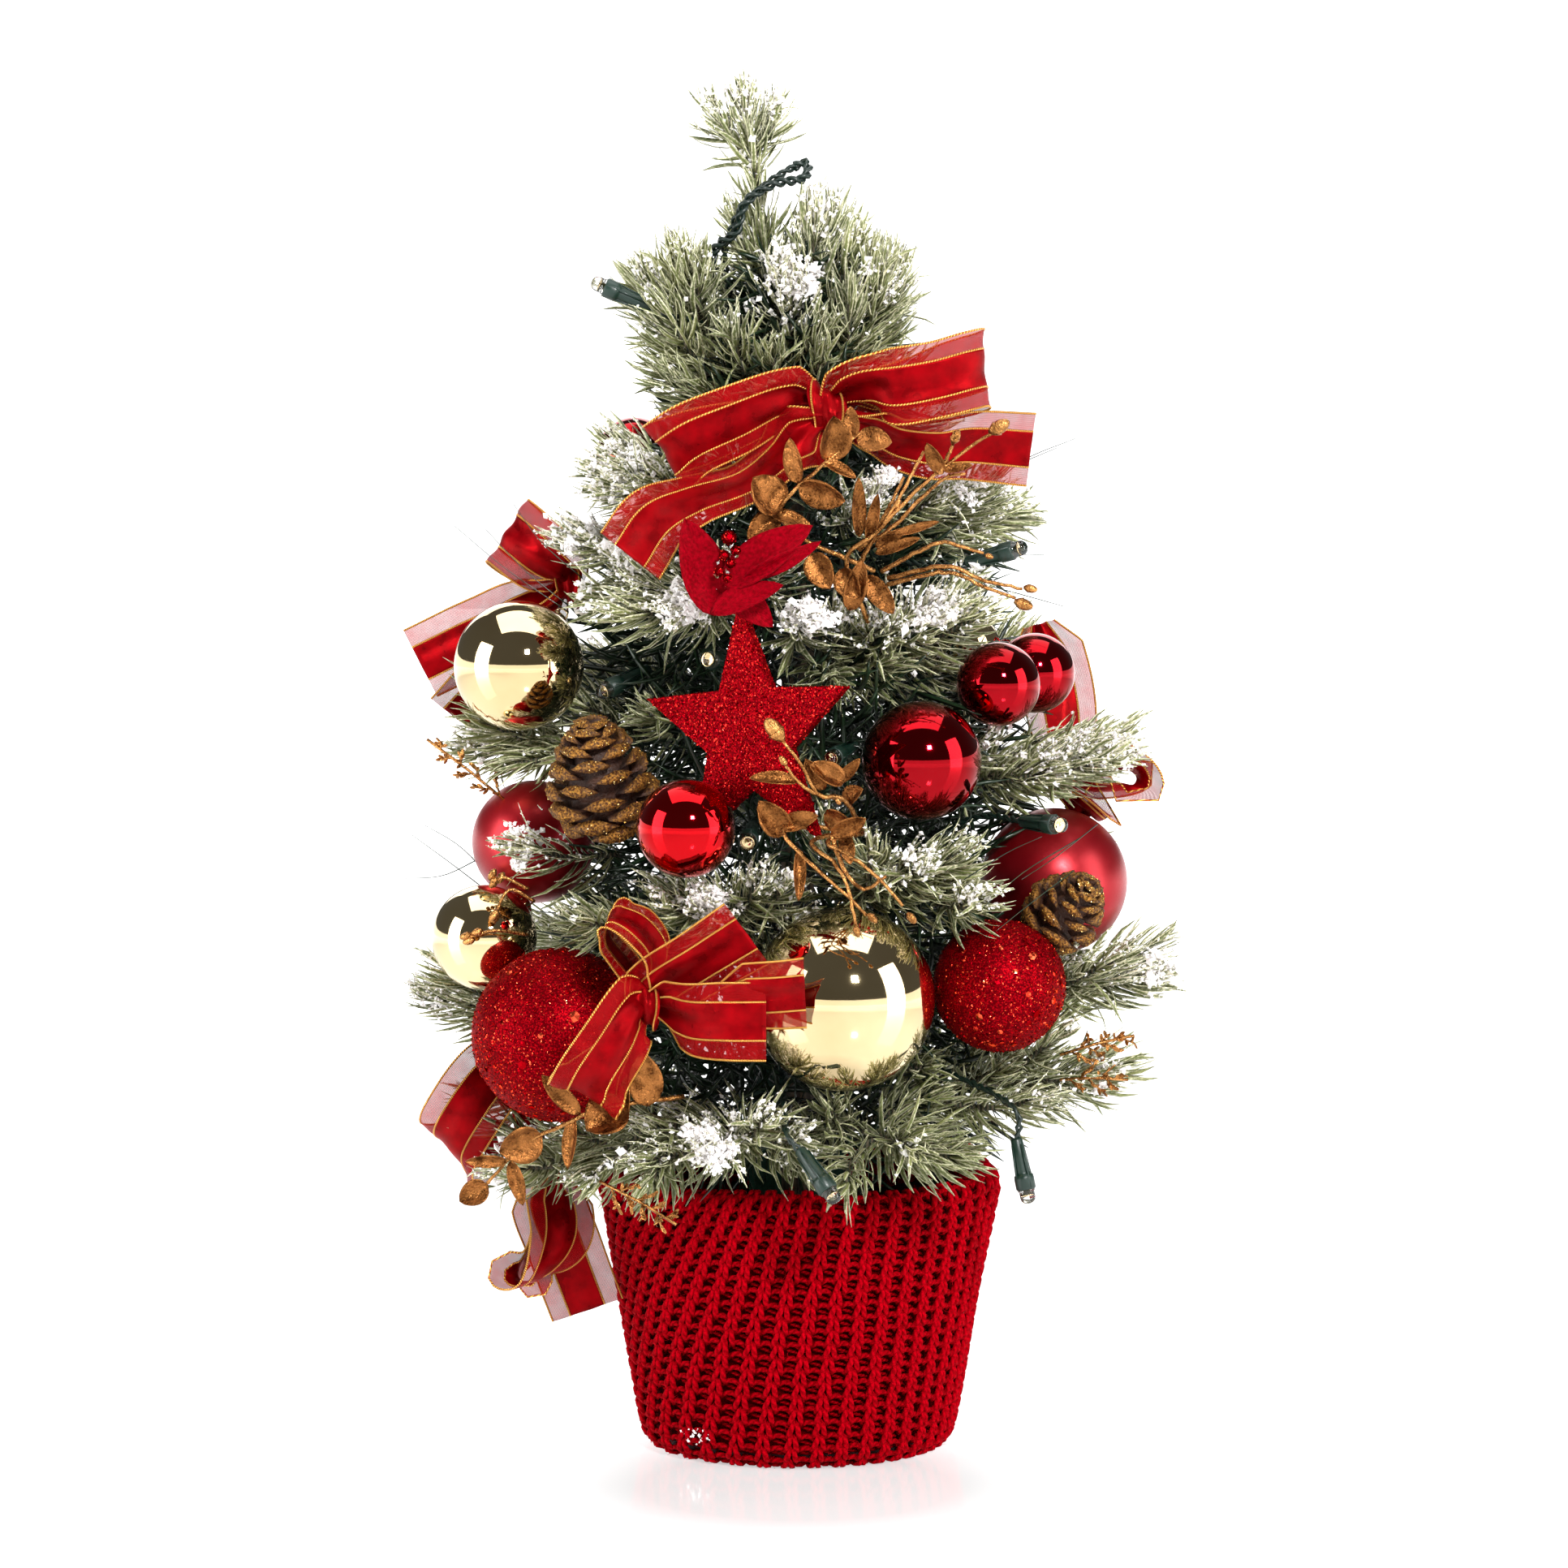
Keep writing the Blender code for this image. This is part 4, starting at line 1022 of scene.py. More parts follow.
def thread_material():
    m = Nodes("gold_thread", (0.9, 0.55, 0.12), 0.35, 0.6)
    across, along = m.uv()
    turns = m.sine(m.plus(m.times(along, 700), m.times(across, 6.283)))
    m.colours(turns, (0.5, 0.14, 0.02), (1.0, 0.62, 0.12), 0.0, 0.6)
    m.relief(turns, 0.8, 0.0003)
    return m.material


def rise_of(offset, bow, pleat):
    """How far the ribbon stands off its own middle line: bowed across, with pleats near a knot."""
    return bow * (1 - offset**2) * 0.5 + pleat * np.sin(offset * 8 + 0.7)


def outward(middle, half):
    return unit(np.cross(unit(np.gradient(middle, axis=0)), half))


def add_strip(soup, middle, half, low, high, cols, thick, bow, pleat):
    """A thin closed band of the ribbon between two shares of its width."""
    rows = len(middle)
    shares = np.linspace(low, high, cols)
    out = outward(middle, half)[:, None]
    offset = (shares * 2 - 1)[None, :, None]
    rise = rise_of(offset, bow, np.reshape(pleat, (-1, 1, 1)))
    centre = middle[:, None] + half[:, None] * offset + out * rise
    quads = slab_faces(rows, cols)
    flat = np.stack(np.broadcast_arrays(shares, np.linspace(0, 1, rows)[:, None] * 4), -1).reshape(-1, 2)
    faces = np.stack([centre + out * thick / 2, centre - out * thick / 2])
    soup.add(faces, quads, uv=flat[quads % (rows * cols)])


def ribbon_sections(sections):
    """A strip's middle line, half of its width at each point, and its length."""
    sections = np.array(sections, float)
    reach = along_path(sections[:, :3])[-1]
    count = max(24, int(reach / 1.3))
    middle = smooth_path(sections[:, :3] * MM, count)
    steps = along_path(sections[:, :3] * MM)
    half = on_path(np.linspace(0, steps[-1], count), steps, unit(sections[:, 3:]) * RIBBON / 2)
    for _ in range(6):
        half[1:-1] = (half[:-2] + half[1:-1] * 2 + half[2:]) / 4
    tangent = unit(np.gradient(middle, axis=0))
    half = unit(half - tangent * np.sum(half * tangent, axis=1, keepdims=True)) * RIBBON / 2
    ripple = np.sin(np.linspace(0, reach / 9, count) + RNG.uniform(0, 6))[:, None] * 0.5 * MM
    return middle + outward(middle, half) * ripple, half, reach * MM


def make_ribbons():
    for bow, strips in RIBBONS.items():
        satin, sheer, threads = Soup(), Soup(), Soup()
        for sections in strips:
            middle, half, reach = ribbon_sections(sections)
            close = np.linspace(0, reach, len(middle))
            pinch = np.clip(0.42 + close / (16 * MM), 0, 1)
            pleat = (1.5 * np.exp(-close / (13 * MM)) + 0.16) * MM
            if np.linalg.norm(middle[-1] - middle[0]) < KNOT_REACH:
                pinch *= np.clip(0.42 + (reach - close) / (16 * MM), 0, 1)
                pleat += 1.5 * MM * np.exp((close - reach) / (13 * MM))
            half = half * pinch[:, None]
            puff = RNG.uniform(0.6, 1.6) * MM
            add_strip(satin, middle, half, *SATIN, 15, 0.22 * MM, puff, pleat)
            add_strip(sheer, middle, half, 0.0, SATIN[0], 8, 0.12 * MM, puff, pleat)
            add_strip(sheer, middle, half, SATIN[1], 1.0, 8, 0.12 * MM, puff, pleat)
            for share in GOLD_LINES:
                offset = share * 2 - 1
                rise = rise_of(offset, puff, pleat[:, None])
                add_tube(threads, middle + half * offset + outward(middle, half) * rise, 0.36 * MM, 6)
        add_knot(satin, threads, *KNOTS[bow])
        cloth = satin.piece(bow + "_satin", "satin", "ribbon_red")
        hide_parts(bow)
        others = [
            sheer.piece(bow + "_sheer", "sheer", "ribbon_red"),
            threads.piece(bow + "_threads", "thread", "gold_shine"),
        ]


def add_knot(satin, threads, x, y, z, wide, radius):
    centre = np.array([x, y, z]) * MM
    turn = np.linspace(0, TURN, 29)
    bulge = 1 + 0.1 * np.sin(turn * 3)
    middle = centre + np.stack([0 * turn, np.cos(turn) * radius * 0.8, np.sin(turn) * radius * bulge], 1) * MM
    half = np.array([wide * 0.36, 0, -wide * 0.2]) * MM * (1 + 0.18 * np.cos(turn * 2 + 0.6))[:, None]
    add_strip(satin, middle, half, 0.0, 1.0, 17, 0.5 * MM, -1.4 * MM, 0.45 * MM)
    for offset in (-0.8, 0.8):
        add_tube(threads, middle + half * offset + unit(middle - centre) * 0.5 * MM, 0.34 * MM, 6)


# ---------------------------------------------------------------- small solid shapes


def add_turned(soup, profile, at, axis, sides):
    """A closed solid turned about an axis, from a profile of (radius, height), foot to top. Millimetres."""
    profile = np.asarray(profile, float) * MM
    axis = unit(axis)
    radius, height = profile.T[..., None, None]
    points = at + height * axis + radius * circle(sides, *crosses(axis, BAUBLE_SIDE))
    quads, uv = ring_faces(len(profile), sides)
    ends = at + profile[[0, -1], 1, None] * axis
    soup.add(np.vstack([points.reshape(-1, 3), ends]), quads, cap_faces(len(profile), sides), uv)


def ball_profile(radius, rings):
    turns = np.linspace(0, np.pi, rings)[1:-1]
    return [(radius * math.sin(t), -radius * math.cos(t)) for t in turns]


LEAF_ROWS, LEAF_COLS = 13, 9


def add_leaf(soup, base, tip, width, facing, cup, bend=0.12, blunt=0.5):
    """A thin closed leaf from base to tip, wide at its middle, cupped across and bent along."""
    length = np.linalg.norm(tip - base)
    axis = (tip - base) / length
    facing = unit(facing - axis * (np.asarray(facing, float) @ axis))
    side = np.cross(axis, facing)
    t = np.linspace(0, 1, LEAF_ROWS)[:, None, None]
    u = np.linspace(-1, 1, LEAF_COLS)[None, :, None]
    outline = np.sin(np.pi * t**0.85) ** blunt * np.where(t > 0.999, 0.02, 1) + 0.02
    rise = cup * width * u**2 * outline + bend * length * t**2 - 0.03 * width * np.exp(-((u / 0.16) ** 2))
    grid = base + length * t * axis + width / 2 * outline * u * side + rise * facing
    thick = facing * 0.18 * MM
    quads = slab_faces(LEAF_ROWS, LEAF_COLS)[:, ::-1]
    flat = np.concatenate(np.broadcast_arrays((u + 1) / 2, t), -1).reshape(-1, 2)
    soup.add(np.stack([grid + thick, grid - thick]), quads, uv=flat[quads % len(flat)])


FLAKE = np.array((
    (1, 0, 0), (0.5, 0.87, 0), (-0.5, 0.87, 0), (-1, 0, 0), (-0.5, -0.87, 0), (0.5, -0.87, 0), (0, 0, 0.18),
    (0, 0, -0.18),
))
FLAKE_FACES = np.array([(k, (k + 1) % 6, 6) for k in range(6)] + [((k + 1) % 6, k, 7) for k in range(6)])


def add_flakes(soup, places, normals, size, tilt):
    """Six-sided glitter flakes that lie on a face, each tilted its own way and with its own level."""
    n = len(places)
    z = unit(normals + RNG.normal(0, tilt, (n, 3)))
    x = unit(np.cross(z, RNG.normal(size=(n, 3))))
    turns = np.stack([x, np.cross(z, x), z], -1)
    scale = size * np.exp(RNG.normal(0, 0.25, n))
    add_copies(soup, FLAKE, FLAKE_FACES, places, turns, scale, RNG.uniform(0, 1, n))


def on_mesh(node, count):
    """Places and normals spread evenly over a CAD node's faces."""
    data = frame["nodes"][node].data
    data.calc_loop_triangles()
    faces = np.empty(len(data.loop_triangles) * 3, np.int32)
    data.loop_triangles.foreach_get("vertices", faces)
    corners = node_points(node)[faces.reshape(-1, 3)]
    cross = np.cross(corners[:, 1] - corners[:, 0], corners[:, 2] - corners[:, 0])
    area = np.linalg.norm(cross, axis=1)
    which = RNG.choice(len(area), count, p=area / area.sum())
    u, v = RNG.uniform(size=(2, count, 1))
    flip = u + v > 1
    u, v = np.where(flip, 1 - u, u), np.where(flip, 1 - v, v)
    a, b, c = np.moveaxis(corners[which], 1, 0)
    return a * (1 - u - v) + b * u + c * v, unit(cross[which])


# ---------------------------------------------------------------- baubles

BAUBLE_SIDE = (0.3, 0.9, 0.31)
BAUBLE_RINGS, BAUBLE_SIDES = 49, 96
LARGE_FLAKES = 70  # on each glitter bauble
# Middle, radius and the way the neck points, in millimetres; then the finish.
BAUBLES = {
    "bauble_gold_large": ((14, -88, 158), 29, (0, 0.6, 0.8), "gold"),
    "bauble_glitter_left": ((-76, -74, 145), 27.5, (0.3, 0.8, 0.5), "glitter"),
    "bauble_gold_low_left": ((-101, -46, 173), 17, (0.6, 0.6, 0.5), "gold"),
    "bauble_gold_upper_left": ((-90, -36, 260), 21, (0.5, 0.6, 0.6), "gold"),
    "bauble_matte_left": ((-86, -24, 202), 20, (0.6, 0.6, 0.5), "red_matte"),
    "bauble_red_small_left": ((-35, -101, 213), 15.5, (0.2, 0.8, 0.5), "red_shine"),
    "bauble_red_mid": ((39, -72, 232), 19, (-0.2, 0.8, 0.5), "red_deep"),
    "bauble_red_right_front": ((64, -52, 255), 13.5, (-0.5, 0.7, 0.5), "red_deep"),
    "bauble_red_right_back": ((77, -24, 257), 13, (-0.7, 0.5, 0.5), "red_deep"),
    "bauble_gold_upper_right": ((54, -10, 264), 12.5, (-0.6, 0.6, 0.5), "gold"),
    "bauble_matte_right": ((84, -12, 188), 24, (-0.5, 0.6, 0.6), "red_matte"),
    "bauble_glitter_right": ((64, -68, 160), 21, (-0.3, 0.8, 0.5), "glitter"),
    "bauble_red_upper_left": ((-54, 14, 327), 12.5, (0.6, 0.5, 0.6), "red_deep"),
}
# Each finish's slot.
FINISH_SLOTS = {
    "gold": "gold_shine", "red_shine": "red_shine", "red_deep": "red_shine", "red_matte": "red_matte",
    "glitter": "red_glitter",
}


def mirror_material(name, colour, deep, roughness=0.035):
    m = Nodes(name, colour, roughness, 1.0, Coat_Weight=0.1, Coat_Roughness=0.03)
    haze = m.noise(26, 4)
    m.colours(haze, deep, colour, 0.3, 0.65)
    m.roughness(haze, roughness, roughness + 0.05, 0.35, 0.75)
    m.relief(m.noise(500, 2, 0.8), 0.03, 0.0001)
    return m.material


def matte_red_material():
    m = Nodes("bauble_satin_red", (0.42, 0.004, 0.012), 0.36, 0.75, Coat_Weight=0.25, Coat_Roughness=0.3)
    grain = m.noise(1800, 2)
    m.colours(m.noise(30, 2), (0.26, 0.001, 0.006), (0.38, 0.003, 0.01))
    m.roughness(grain, 0.3, 0.44)
    m.relief(grain, 0.06, 0.0001)
    return m.material


def glitter_base_material(name):
    m = Nodes(name, (0.3, 0.003, 0.008), 0.5, 0.6, Specular_IOR_Level=0.1, Specular_Tint=(1, 0.1, 0.1, 1))
    share = m.between(m.cells(1500, "Distance"), 0.1, 0.6)
    m.to_shader(m.mix(share, (0.4, 0.002, 0.006), (0.1, 0.0, 0.002)), "Base Color")
    m.relief(m.cells(1500, "Color"), 0.9, 0.0004)
    return m.material


def flake_material(name, dark, middle, bright):
    tint = (*(min(1, c * 2 + 0.02) for c in bright), 1)
    m = Nodes(name, middle, 0.22, 0.95, Specular_IOR_Level=0.1, Specular_Tint=tint)
    level = m.attribute("level")
    m.to_shader(m.ramp(level, (0.0, dark), (0.55, middle), (0.93, bright)), "Base Color")
    m.roughness(level, 0.34, 0.18, 0, 1)
    m.relief(m.noise(3000, 1), 0.15, 0.0001)
    return m.material


def add_cap(soup, middle, radius, neck):
    """A bauble's cap with twelve ribs, and the hanger's loop in it."""
    r = 2.2 + radius * 0.09
    foot = radius - 0.6
    crown = ((r + 0.5, -0.8), (r + 0.5, 0), (r, 0.5), (r, 3), (r - 0.5, 3.6), (0.6, 3.8))
    add_turned(soup, [(out, foot + up) for out, up in crown], middle, neck, 24)
    a, b = crosses(neck, BAUBLE_SIDE)
    for side in circle(12, a, b):
        low = middle + (neck * (foot + 0.3) + side * (r + 0.1)) * MM
        add_tube(soup, [low, low + neck * 2.6 * MM], 0.28 * MM, 5)
    ring = middle + ((foot + 5.6) * neck + circle(20, a * 2, neck * 2.2)) * MM
    add_tube(soup, np.vstack([ring, ring[:1]]), 0.32 * MM, 6)


def make_baubles():
    for name, (middle, radius, neck, finish) in BAUBLES.items():
        ball, cap, flakes = Soup(), Soup(), Soup()
        middle, neck = np.array(middle) * MM, unit(neck)
        add_turned(ball, ball_profile(radius, BAUBLE_RINGS), middle, neck, BAUBLE_SIDES)
        shown = ball.piece(name + "_ball", finish, FINISH_SLOTS[finish])
        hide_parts(name)
        add_cap(cap, middle, radius, neck)
        cap.piece(name + "_cap", "gold" if finish == "gold" else "cap_red", "gold_shine")
        if finish == "glitter":
            normals = unit(RNG.normal(size=(int(radius**2 * 11), 3)))
            normals = normals[normals @ neck < 0.97]
            add_flakes(flakes, middle + normals * (radius + 0.1) * MM, normals, 0.27 * MM, 0.42)
            big = unit(RNG.normal(size=(LARGE_FLAKES, 3)))
            add_flakes(flakes, middle + big * (radius + 0.25) * MM, big, 0.95 * MM, 0.12)
            flakes.piece(name + "_glitter", "red_flakes", "red_glitter", smooth=False)


# ---------------------------------------------------------------- cones, star and flower

# A cone's scale as sections from its foot to its end: how far out, half width, half thickness.
SCALE_SECTIONS = ((0.0, 0.25, 0.1), (0.5, 0.8, 0.12), (0.84, 1.15, 0.22), (0.95, 0.9, 0.34), (1.0, 0.36, 0.2))
SCALE_SIDES = 8
STAR_FLAKES, BEAD_FLAKES, SCALE_FLAKES = 9500, 90, 26


def cone_material():
    m = Nodes("cone_scales", (0.16, 0.07, 0.02), 0.6)
    grain, fine = m.noise(260, 4), m.noise(1300, 2)
    wood = m.ramp(grain, (0.3, (0.02, 0.007, 0.003)), (0.7, (0.07, 0.022, 0.008)))
    dust = m.ramp(fine, (0.4, (0.06, 0.018, 0.003)), (0.68, (0.42, 0.19, 0.03)))
    share = m.times(m.between(m.attribute("level"), 0.7, 1.0), m.between(grain, 0.3, 0.5, 0.55, 1.0))
    m.to_shader(m.mix(share, wood, dust), "Base Color")
    m.to_shader(m.times(share, 0.7), "Metallic")
    m.relief(fine, 0.9, 0.0006)
    return m.material


def scale_shape():
    """A lozenge-shaped scale's points (out, across, up), its quads, triangles and levels."""
    points = []
    for out, wide, high in SCALE_SECTIONS:
        for c, s in circle(SCALE_SIDES, np.array([1, 0]), np.array([0, 1])):
            across, up = math.copysign(abs(c) ** 1.25, c), math.copysign(abs(s) ** 1.1, s)
            points.append((out, across * wide, up * high))
    points.append((1.07, 0, 0.02))
    quads, _ = ring_faces(len(SCALE_SECTIONS), SCALE_SIDES)
    last = len(quads)
    tris = [(last + j, last + (j + 1) % SCALE_SIDES, last + SCALE_SIDES) for j in range(SCALE_SIDES)]
    tris += [(0, j + 1, j) for j in range(1, SCALE_SIDES - 1)]
    levels = [*np.repeat([section[0] for section in SCALE_SECTIONS], SCALE_SIDES), 1.0]
    return np.array(points), quads, tris, levels


def make_cone(name, middle, length, radius, axis, count):
    """A pine cone: scales set round an axis by the golden angle, thick and lozenge-shaped at their ends."""
    middle, axis = np.array(middle) * MM, unit(axis)
    a, b = crosses(axis, (0.2, 0.3, 0.93))
    soup, glitter = Soup(), Soup()
    core = ((0.25, -0.5), (0.55, -0.3), (0.5, 0.1), (0.15, 0.42))
    add_turned(soup, [(radius * out, length * up) for out, up in core], middle, axis, 16)
    shape, quads, tris, levels = scale_shape()
    for n in range(count):
        t = (n + 0.5) / count
        envelope = radius * min(1, 0.62 + 1.5 * t) * (1 - 0.72 * t**2.4)
        radial = math.cos(n * GOLDEN) * a + math.sin(n * GOLDEN) * b
        tip_lift = math.radians(8 + 55 * t**1.5)
        out = unit(radial * math.cos(tip_lift) + axis * math.sin(tip_lift))
        side = unit(np.cross(axis, radial))
        wide = radius * 0.42 * (1 - 0.45 * t) * RNG.normal(1, 0.07)
        start = middle + (axis * (t - 0.52) * length * 0.86 + radial * envelope * 0.15) * MM
        spread = np.array([envelope * 0.85 * out, wide * side, wide * 1.05 * np.cross(out, side)])
        world = start + shape @ spread * MM
        soup.add(world, quads, tris, level=levels)
        face = world[24:41]
        first, second = (face[RNG.integers(0, len(face), SCALE_FLAKES)] for _ in range(2))
        places = first * 0.6 + second * 0.4 + out * 0.15 * MM
        add_flakes(glitter, places, np.tile(out, (SCALE_FLAKES, 1)), 0.2 * MM, 0.7)
    shown = soup.piece(name + "_scales", "cone", "cone_brown")
    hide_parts(name)
    glitter.piece(name + "_glitter", "gold_flakes", "cone_brown", smooth=False)


def make_star():
    places, normals = on_mesh("star", STAR_FLAKES)
    flakes = Soup()
    add_flakes(flakes, places + normals * 0.1 * MM, normals, 0.3 * MM, 0.4)
    flakes.piece("star_glitter", "star_flakes", "star_glitter", smooth=False)


def petal_material():
    m = Nodes("petal_cloth", (0.4, 0.0, 0.006), 0.5, Specular_IOR_Level=0.15, Specular_Tint=(1, 0.1, 0.1, 1))
    across, along = m.uv()
    vein = m.sine(m.plus(m.times(along, 60), m.times(m.off_middle(across), -60)))
    weave = m.noise(900, 2)
    m.colours(weave, (0.12, 0.0, 0.002), (0.27, 0.0, 0.006))
    m.relief(m.plus(m.times(vein, 0.3), weave), 0.35, 0.0004)
    return m.material


# The flower's petals, each as its foot, its tip, its width and the way it faces. Millimetres.
PETALS = (
    ((-26, -96, 279), (-34, -102, 309), 15, (0.35, -1, 0.0)),
    ((-24, -98, 288), (3, -103, 308), 13, (-0.15, -1, 0.35)),
    ((-17, -100, 291), (7, -105, 301), 6, (0, -1, -0.5)),
    ((-27, -100, 280), (-6, -106, 290), 9, (0.1, -0.85, 0.55)),
    ((-24, -95, 290), (-8, -98, 276), 10, (0.2, -1, 0)),
)
# The flower's beads, each as its middle and its radius. Millimetres.
BEADS = (
    ((-21.5, -103, 303.5), 2.3), ((-23, -103, 298), 1.7), ((-21, -103, 295.5), 1.5),
    ((-24.5, -103, 293), 1.6), ((-19.5, -102, 299.5), 1.5), ((-22, -104, 291), 1.4),
)


def make_flower():
    petals, beads = Soup(), Soup()
    for base, tip, width, facing in PETALS:
        base, tip = np.array(base) * MM, np.array(tip) * MM
        add_leaf(petals, base, tip, width * MM, facing, cup=0.2, bend=-0.12, blunt=0.7)
    shown = petals.piece("poinsettia_petals", "petal", "petal_red")
    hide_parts("poinsettia")
    for at, radius in BEADS:
        at = np.array(at) * MM
        add_turned(beads, ball_profile(radius, 9), at, (0.1, -1, 0.2), 12)
        normals = unit(RNG.normal(size=(BEAD_FLAKES, 3)))
        add_flakes(beads, at + normals * (radius + 0.08) * MM, normals, 0.24 * MM, 0.4)
    beads.piece("poinsettia_beads", "star_flakes", "red_glitter", smooth=False)


# ---------------------------------------------------------------- gilded sprays


def gilt_material(name, dark, light, roughness):
    m = Nodes(name, light, roughness, 1.0)
    speck = m.noise(1600, 2)
    tone = m.plus(m.times(m.noise(260, 5), 0.7), m.times(speck, 0.3))
    m.colours(tone, dark, light, 0.36, 0.6)
    m.roughness(speck, roughness - 0.12, roughness + 0.16)
    glints = m.bump(m.cells(1400, "Color"), 0.6, 0.0004)
    m.to_shader(m.bump(tone, 0.8, 0.0012, Normal=glints), "Normal")
    return m.material


# Each spray: stems as points, leaves as (base, tip, width), berries as (x, y, z, length). Millimetres.
SPRAYS = {
    "spray_leaves_top": (
        (
            (
                (24, -74, 292), (2, -80, 302), (-6, -88, 311), (0, -90, 319), (8, -91, 326), (17, -91, 334),
                (22, -90, 337),
            ),
        ),
        (
            ((-6, -89, 311), (-14, -92, 322), 13), ((0, -90, 319), (15, -93, 315), 9),
            ((0, -90, 320), (-3, -92, 334), 6), ((8, -91, 327), (18, -93, 322), 4),
            ((9, -91, 327), (11, -94, 341), 11), ((17, -91, 334), (16, -92, 344), 5),
            ((18, -91, 334), (29, -93, 333), 8), ((-9, -88, 311), (4, -91, 307), 5),
            ((-6, -86, 311), (-16, -90, 302), 8),
        ),
        (),
    ),
    "spray_berries_right": (
        (
            (
                (22, -76, 276), (15, -85, 296), (25, -88, 305), (34, -90, 315), (44, -92, 324),
                (57, -94, 334), (61, -95, 336),
            ),
            ((17, -80, 290), (23, -86, 302), (30, -89, 313), (39, -90, 330)),
            ((19, -80, 299), (29, -87, 306), (38, -90, 315), (46, -91, 322), (52, -91, 323)),
            ((22, -78, 300), (27, -86, 310), (33, -88, 322)),
            ((28, -78, 290), (46, -85, 294), (57, -87, 290), (70, -88, 287)),
            ((28, -78, 288), (46, -84, 292), (57, -86, 288), (68, -87, 284)),
            ((26, -78, 292), (43, -83, 301), (51, -84, 300), (58, -84, 298)),
            ((44, -92, 323), (48, -93, 332)),
        ),
        (
            ((45, -92, 323), (40, -94, 333), 5), ((45, -92, 324), (54, -94, 326), 3),
            ((19, -85, 303), (18, -88, 322), 5), ((22, -86, 301), (25, -89, 317), 4),
            ((13, -84, 293), (19, -87, 284), 8), ((16, -84, 280), (20, -88, 296), 7),
            ((4, -84, 298), (10, -87, 287), 9), ((24, -84, 300), (34, -87, 306), 4),
            ((21, -84, 291), (30, -88, 279), 7), ((24, -86, 298), (38, -90, 303), 4),
            ((30, -88, 304), (44, -91, 308), 3),
        ),
        (
            (63, -95, 338, 6), (49, -94, 335, 4), (73, -88, 287, 3.6), (71, -88, 282, 5), (31, -89, 314, 3),
            (60, -84, 297, 2.4),
        ),
    ),
    "spray_berries_front": (
        (
            ((20, -94, 212), (14, -112, 223), (6, -119, 225), (1, -121, 234), (-5, -122, 242)),
            ((16, -106, 222), (6, -119, 225), (0, -120, 229), (-4, -121, 234)),
            (
                (18, -96, 212), (-4, -112, 214), (0, -118, 207), (7, -122, 201), (15, -123, 194),
                (21, -123, 188),
            ),
            (
                (18, -96, 212), (4, -113, 210), (11, -120, 204), (15, -123, 197), (17, -124, 188),
                (18, -124, 184),
            ),
            ((20, -96, 211), (9, -113, 210), (16, -119, 206), (24, -122, 200), (32, -123, 191)),
            ((10, -112, 212), (14, -118, 202), (20, -121, 196), (27, -121, 200)),
        ),
        (
            ((0, -120, 229), (-15, -121, 231), 4.5), ((0, -115, 208), (0, -118, 192), 4),
            ((10, -113, 212), (21, -117, 218), 6), ((-4, -108, 212), (-12, -112, 222), 9),
            ((8, -111, 226), (2, -114, 236), 5), ((14, -110, 228), (3, -115, 234), 7),
            ((12, -108, 228), (19, -112, 236), 4), ((14, -108, 212), (16, -114, 203), 5),
            ((-6, -108, 214), (6, -112, 218), 6), ((14, -104, 222), (20, -110, 226), 6),
            ((8, -106, 218), (18, -112, 214), 7),
        ),
        (
            (-8, -123, 246, 7), (-5, -122, 236, 3), (23, -124, 187, 3.2), (18, -125, 183, 3.2),
            (35, -124, 187, 3.4), (12, -118, 223, 2),
        ),
    ),
    "spray_leaves_low": (
        (
            (
                (-36, -94, 128), (-54, -104, 127), (-64, -105, 125), (-72, -105, 121), (-81, -104, 117),
                (-90, -103, 110), (-97, -101, 102), (-102, -99, 97),
            ),
        ),
        (
            ((-68, -105, 124), (-80, -106, 136), 6), ((-54, -104, 127), (-66, -108, 119), 14),
            ((-54, -104, 121), (-54, -106, 136), 5), ((-47, -102, 126), (-49, -104, 143), 11),
            ((-70, -105, 123), (-71, -106, 107), 5), ((-80, -104, 117), (-93, -107, 112), 12),
            ((-90, -103, 109), (-86, -104, 95), 5), ((-91, -103, 109), (-104, -104, 109), 4),
            ((-97, -101, 101), (-106, -102, 96), 8),
        ),
        ((-103, -100, 96, 3),),
    ),
}
# Small gilded fir sprigs: from the foot to the tip, then how many side twigs. Millimetres.
SPRIGS = (
    ((-92, -34, 214), (-120, -32, 236), 7), ((-62, -106, 103), (-38, -110, 90), 8),
    ((84, -54, 136), (108, -52, 142), 7), ((84, -54, 128), (106, -54, 128), 6),
    ((-22, -106, 152), (-10, -112, 160), 3),
)
# Loose gilded stems with a berry, behind the low gold bauble and on it: their points. Millimetres.
BERRY_STEMS = (
    ((-86, -66, 176), (-96, -72, 178), (-104, -72, 176)),
    ((-84, -60, 186), (-92, -62, 190), (-97, -64, 181)),
    ((-86, -60, 190), (-94, -62, 194), (-97, -62, 191)),
)


def add_pod(soup, at, length, axis):
    """A berry's pod, thicker at its foot, and the collar under it."""
    profile = [(0.72 * out * (1 - 0.4 * up / length), up) for out, up in ball_profile(length / 2, 11)]
    add_turned(soup, profile, at, axis, 14)
    collar = ((0.12, -0.75), (0.3, -0.5), (0.42, -0.25), (0.36, -0.2))
    add_turned(soup, [(length * out, length * up) for out, up in collar], at, axis, 10)


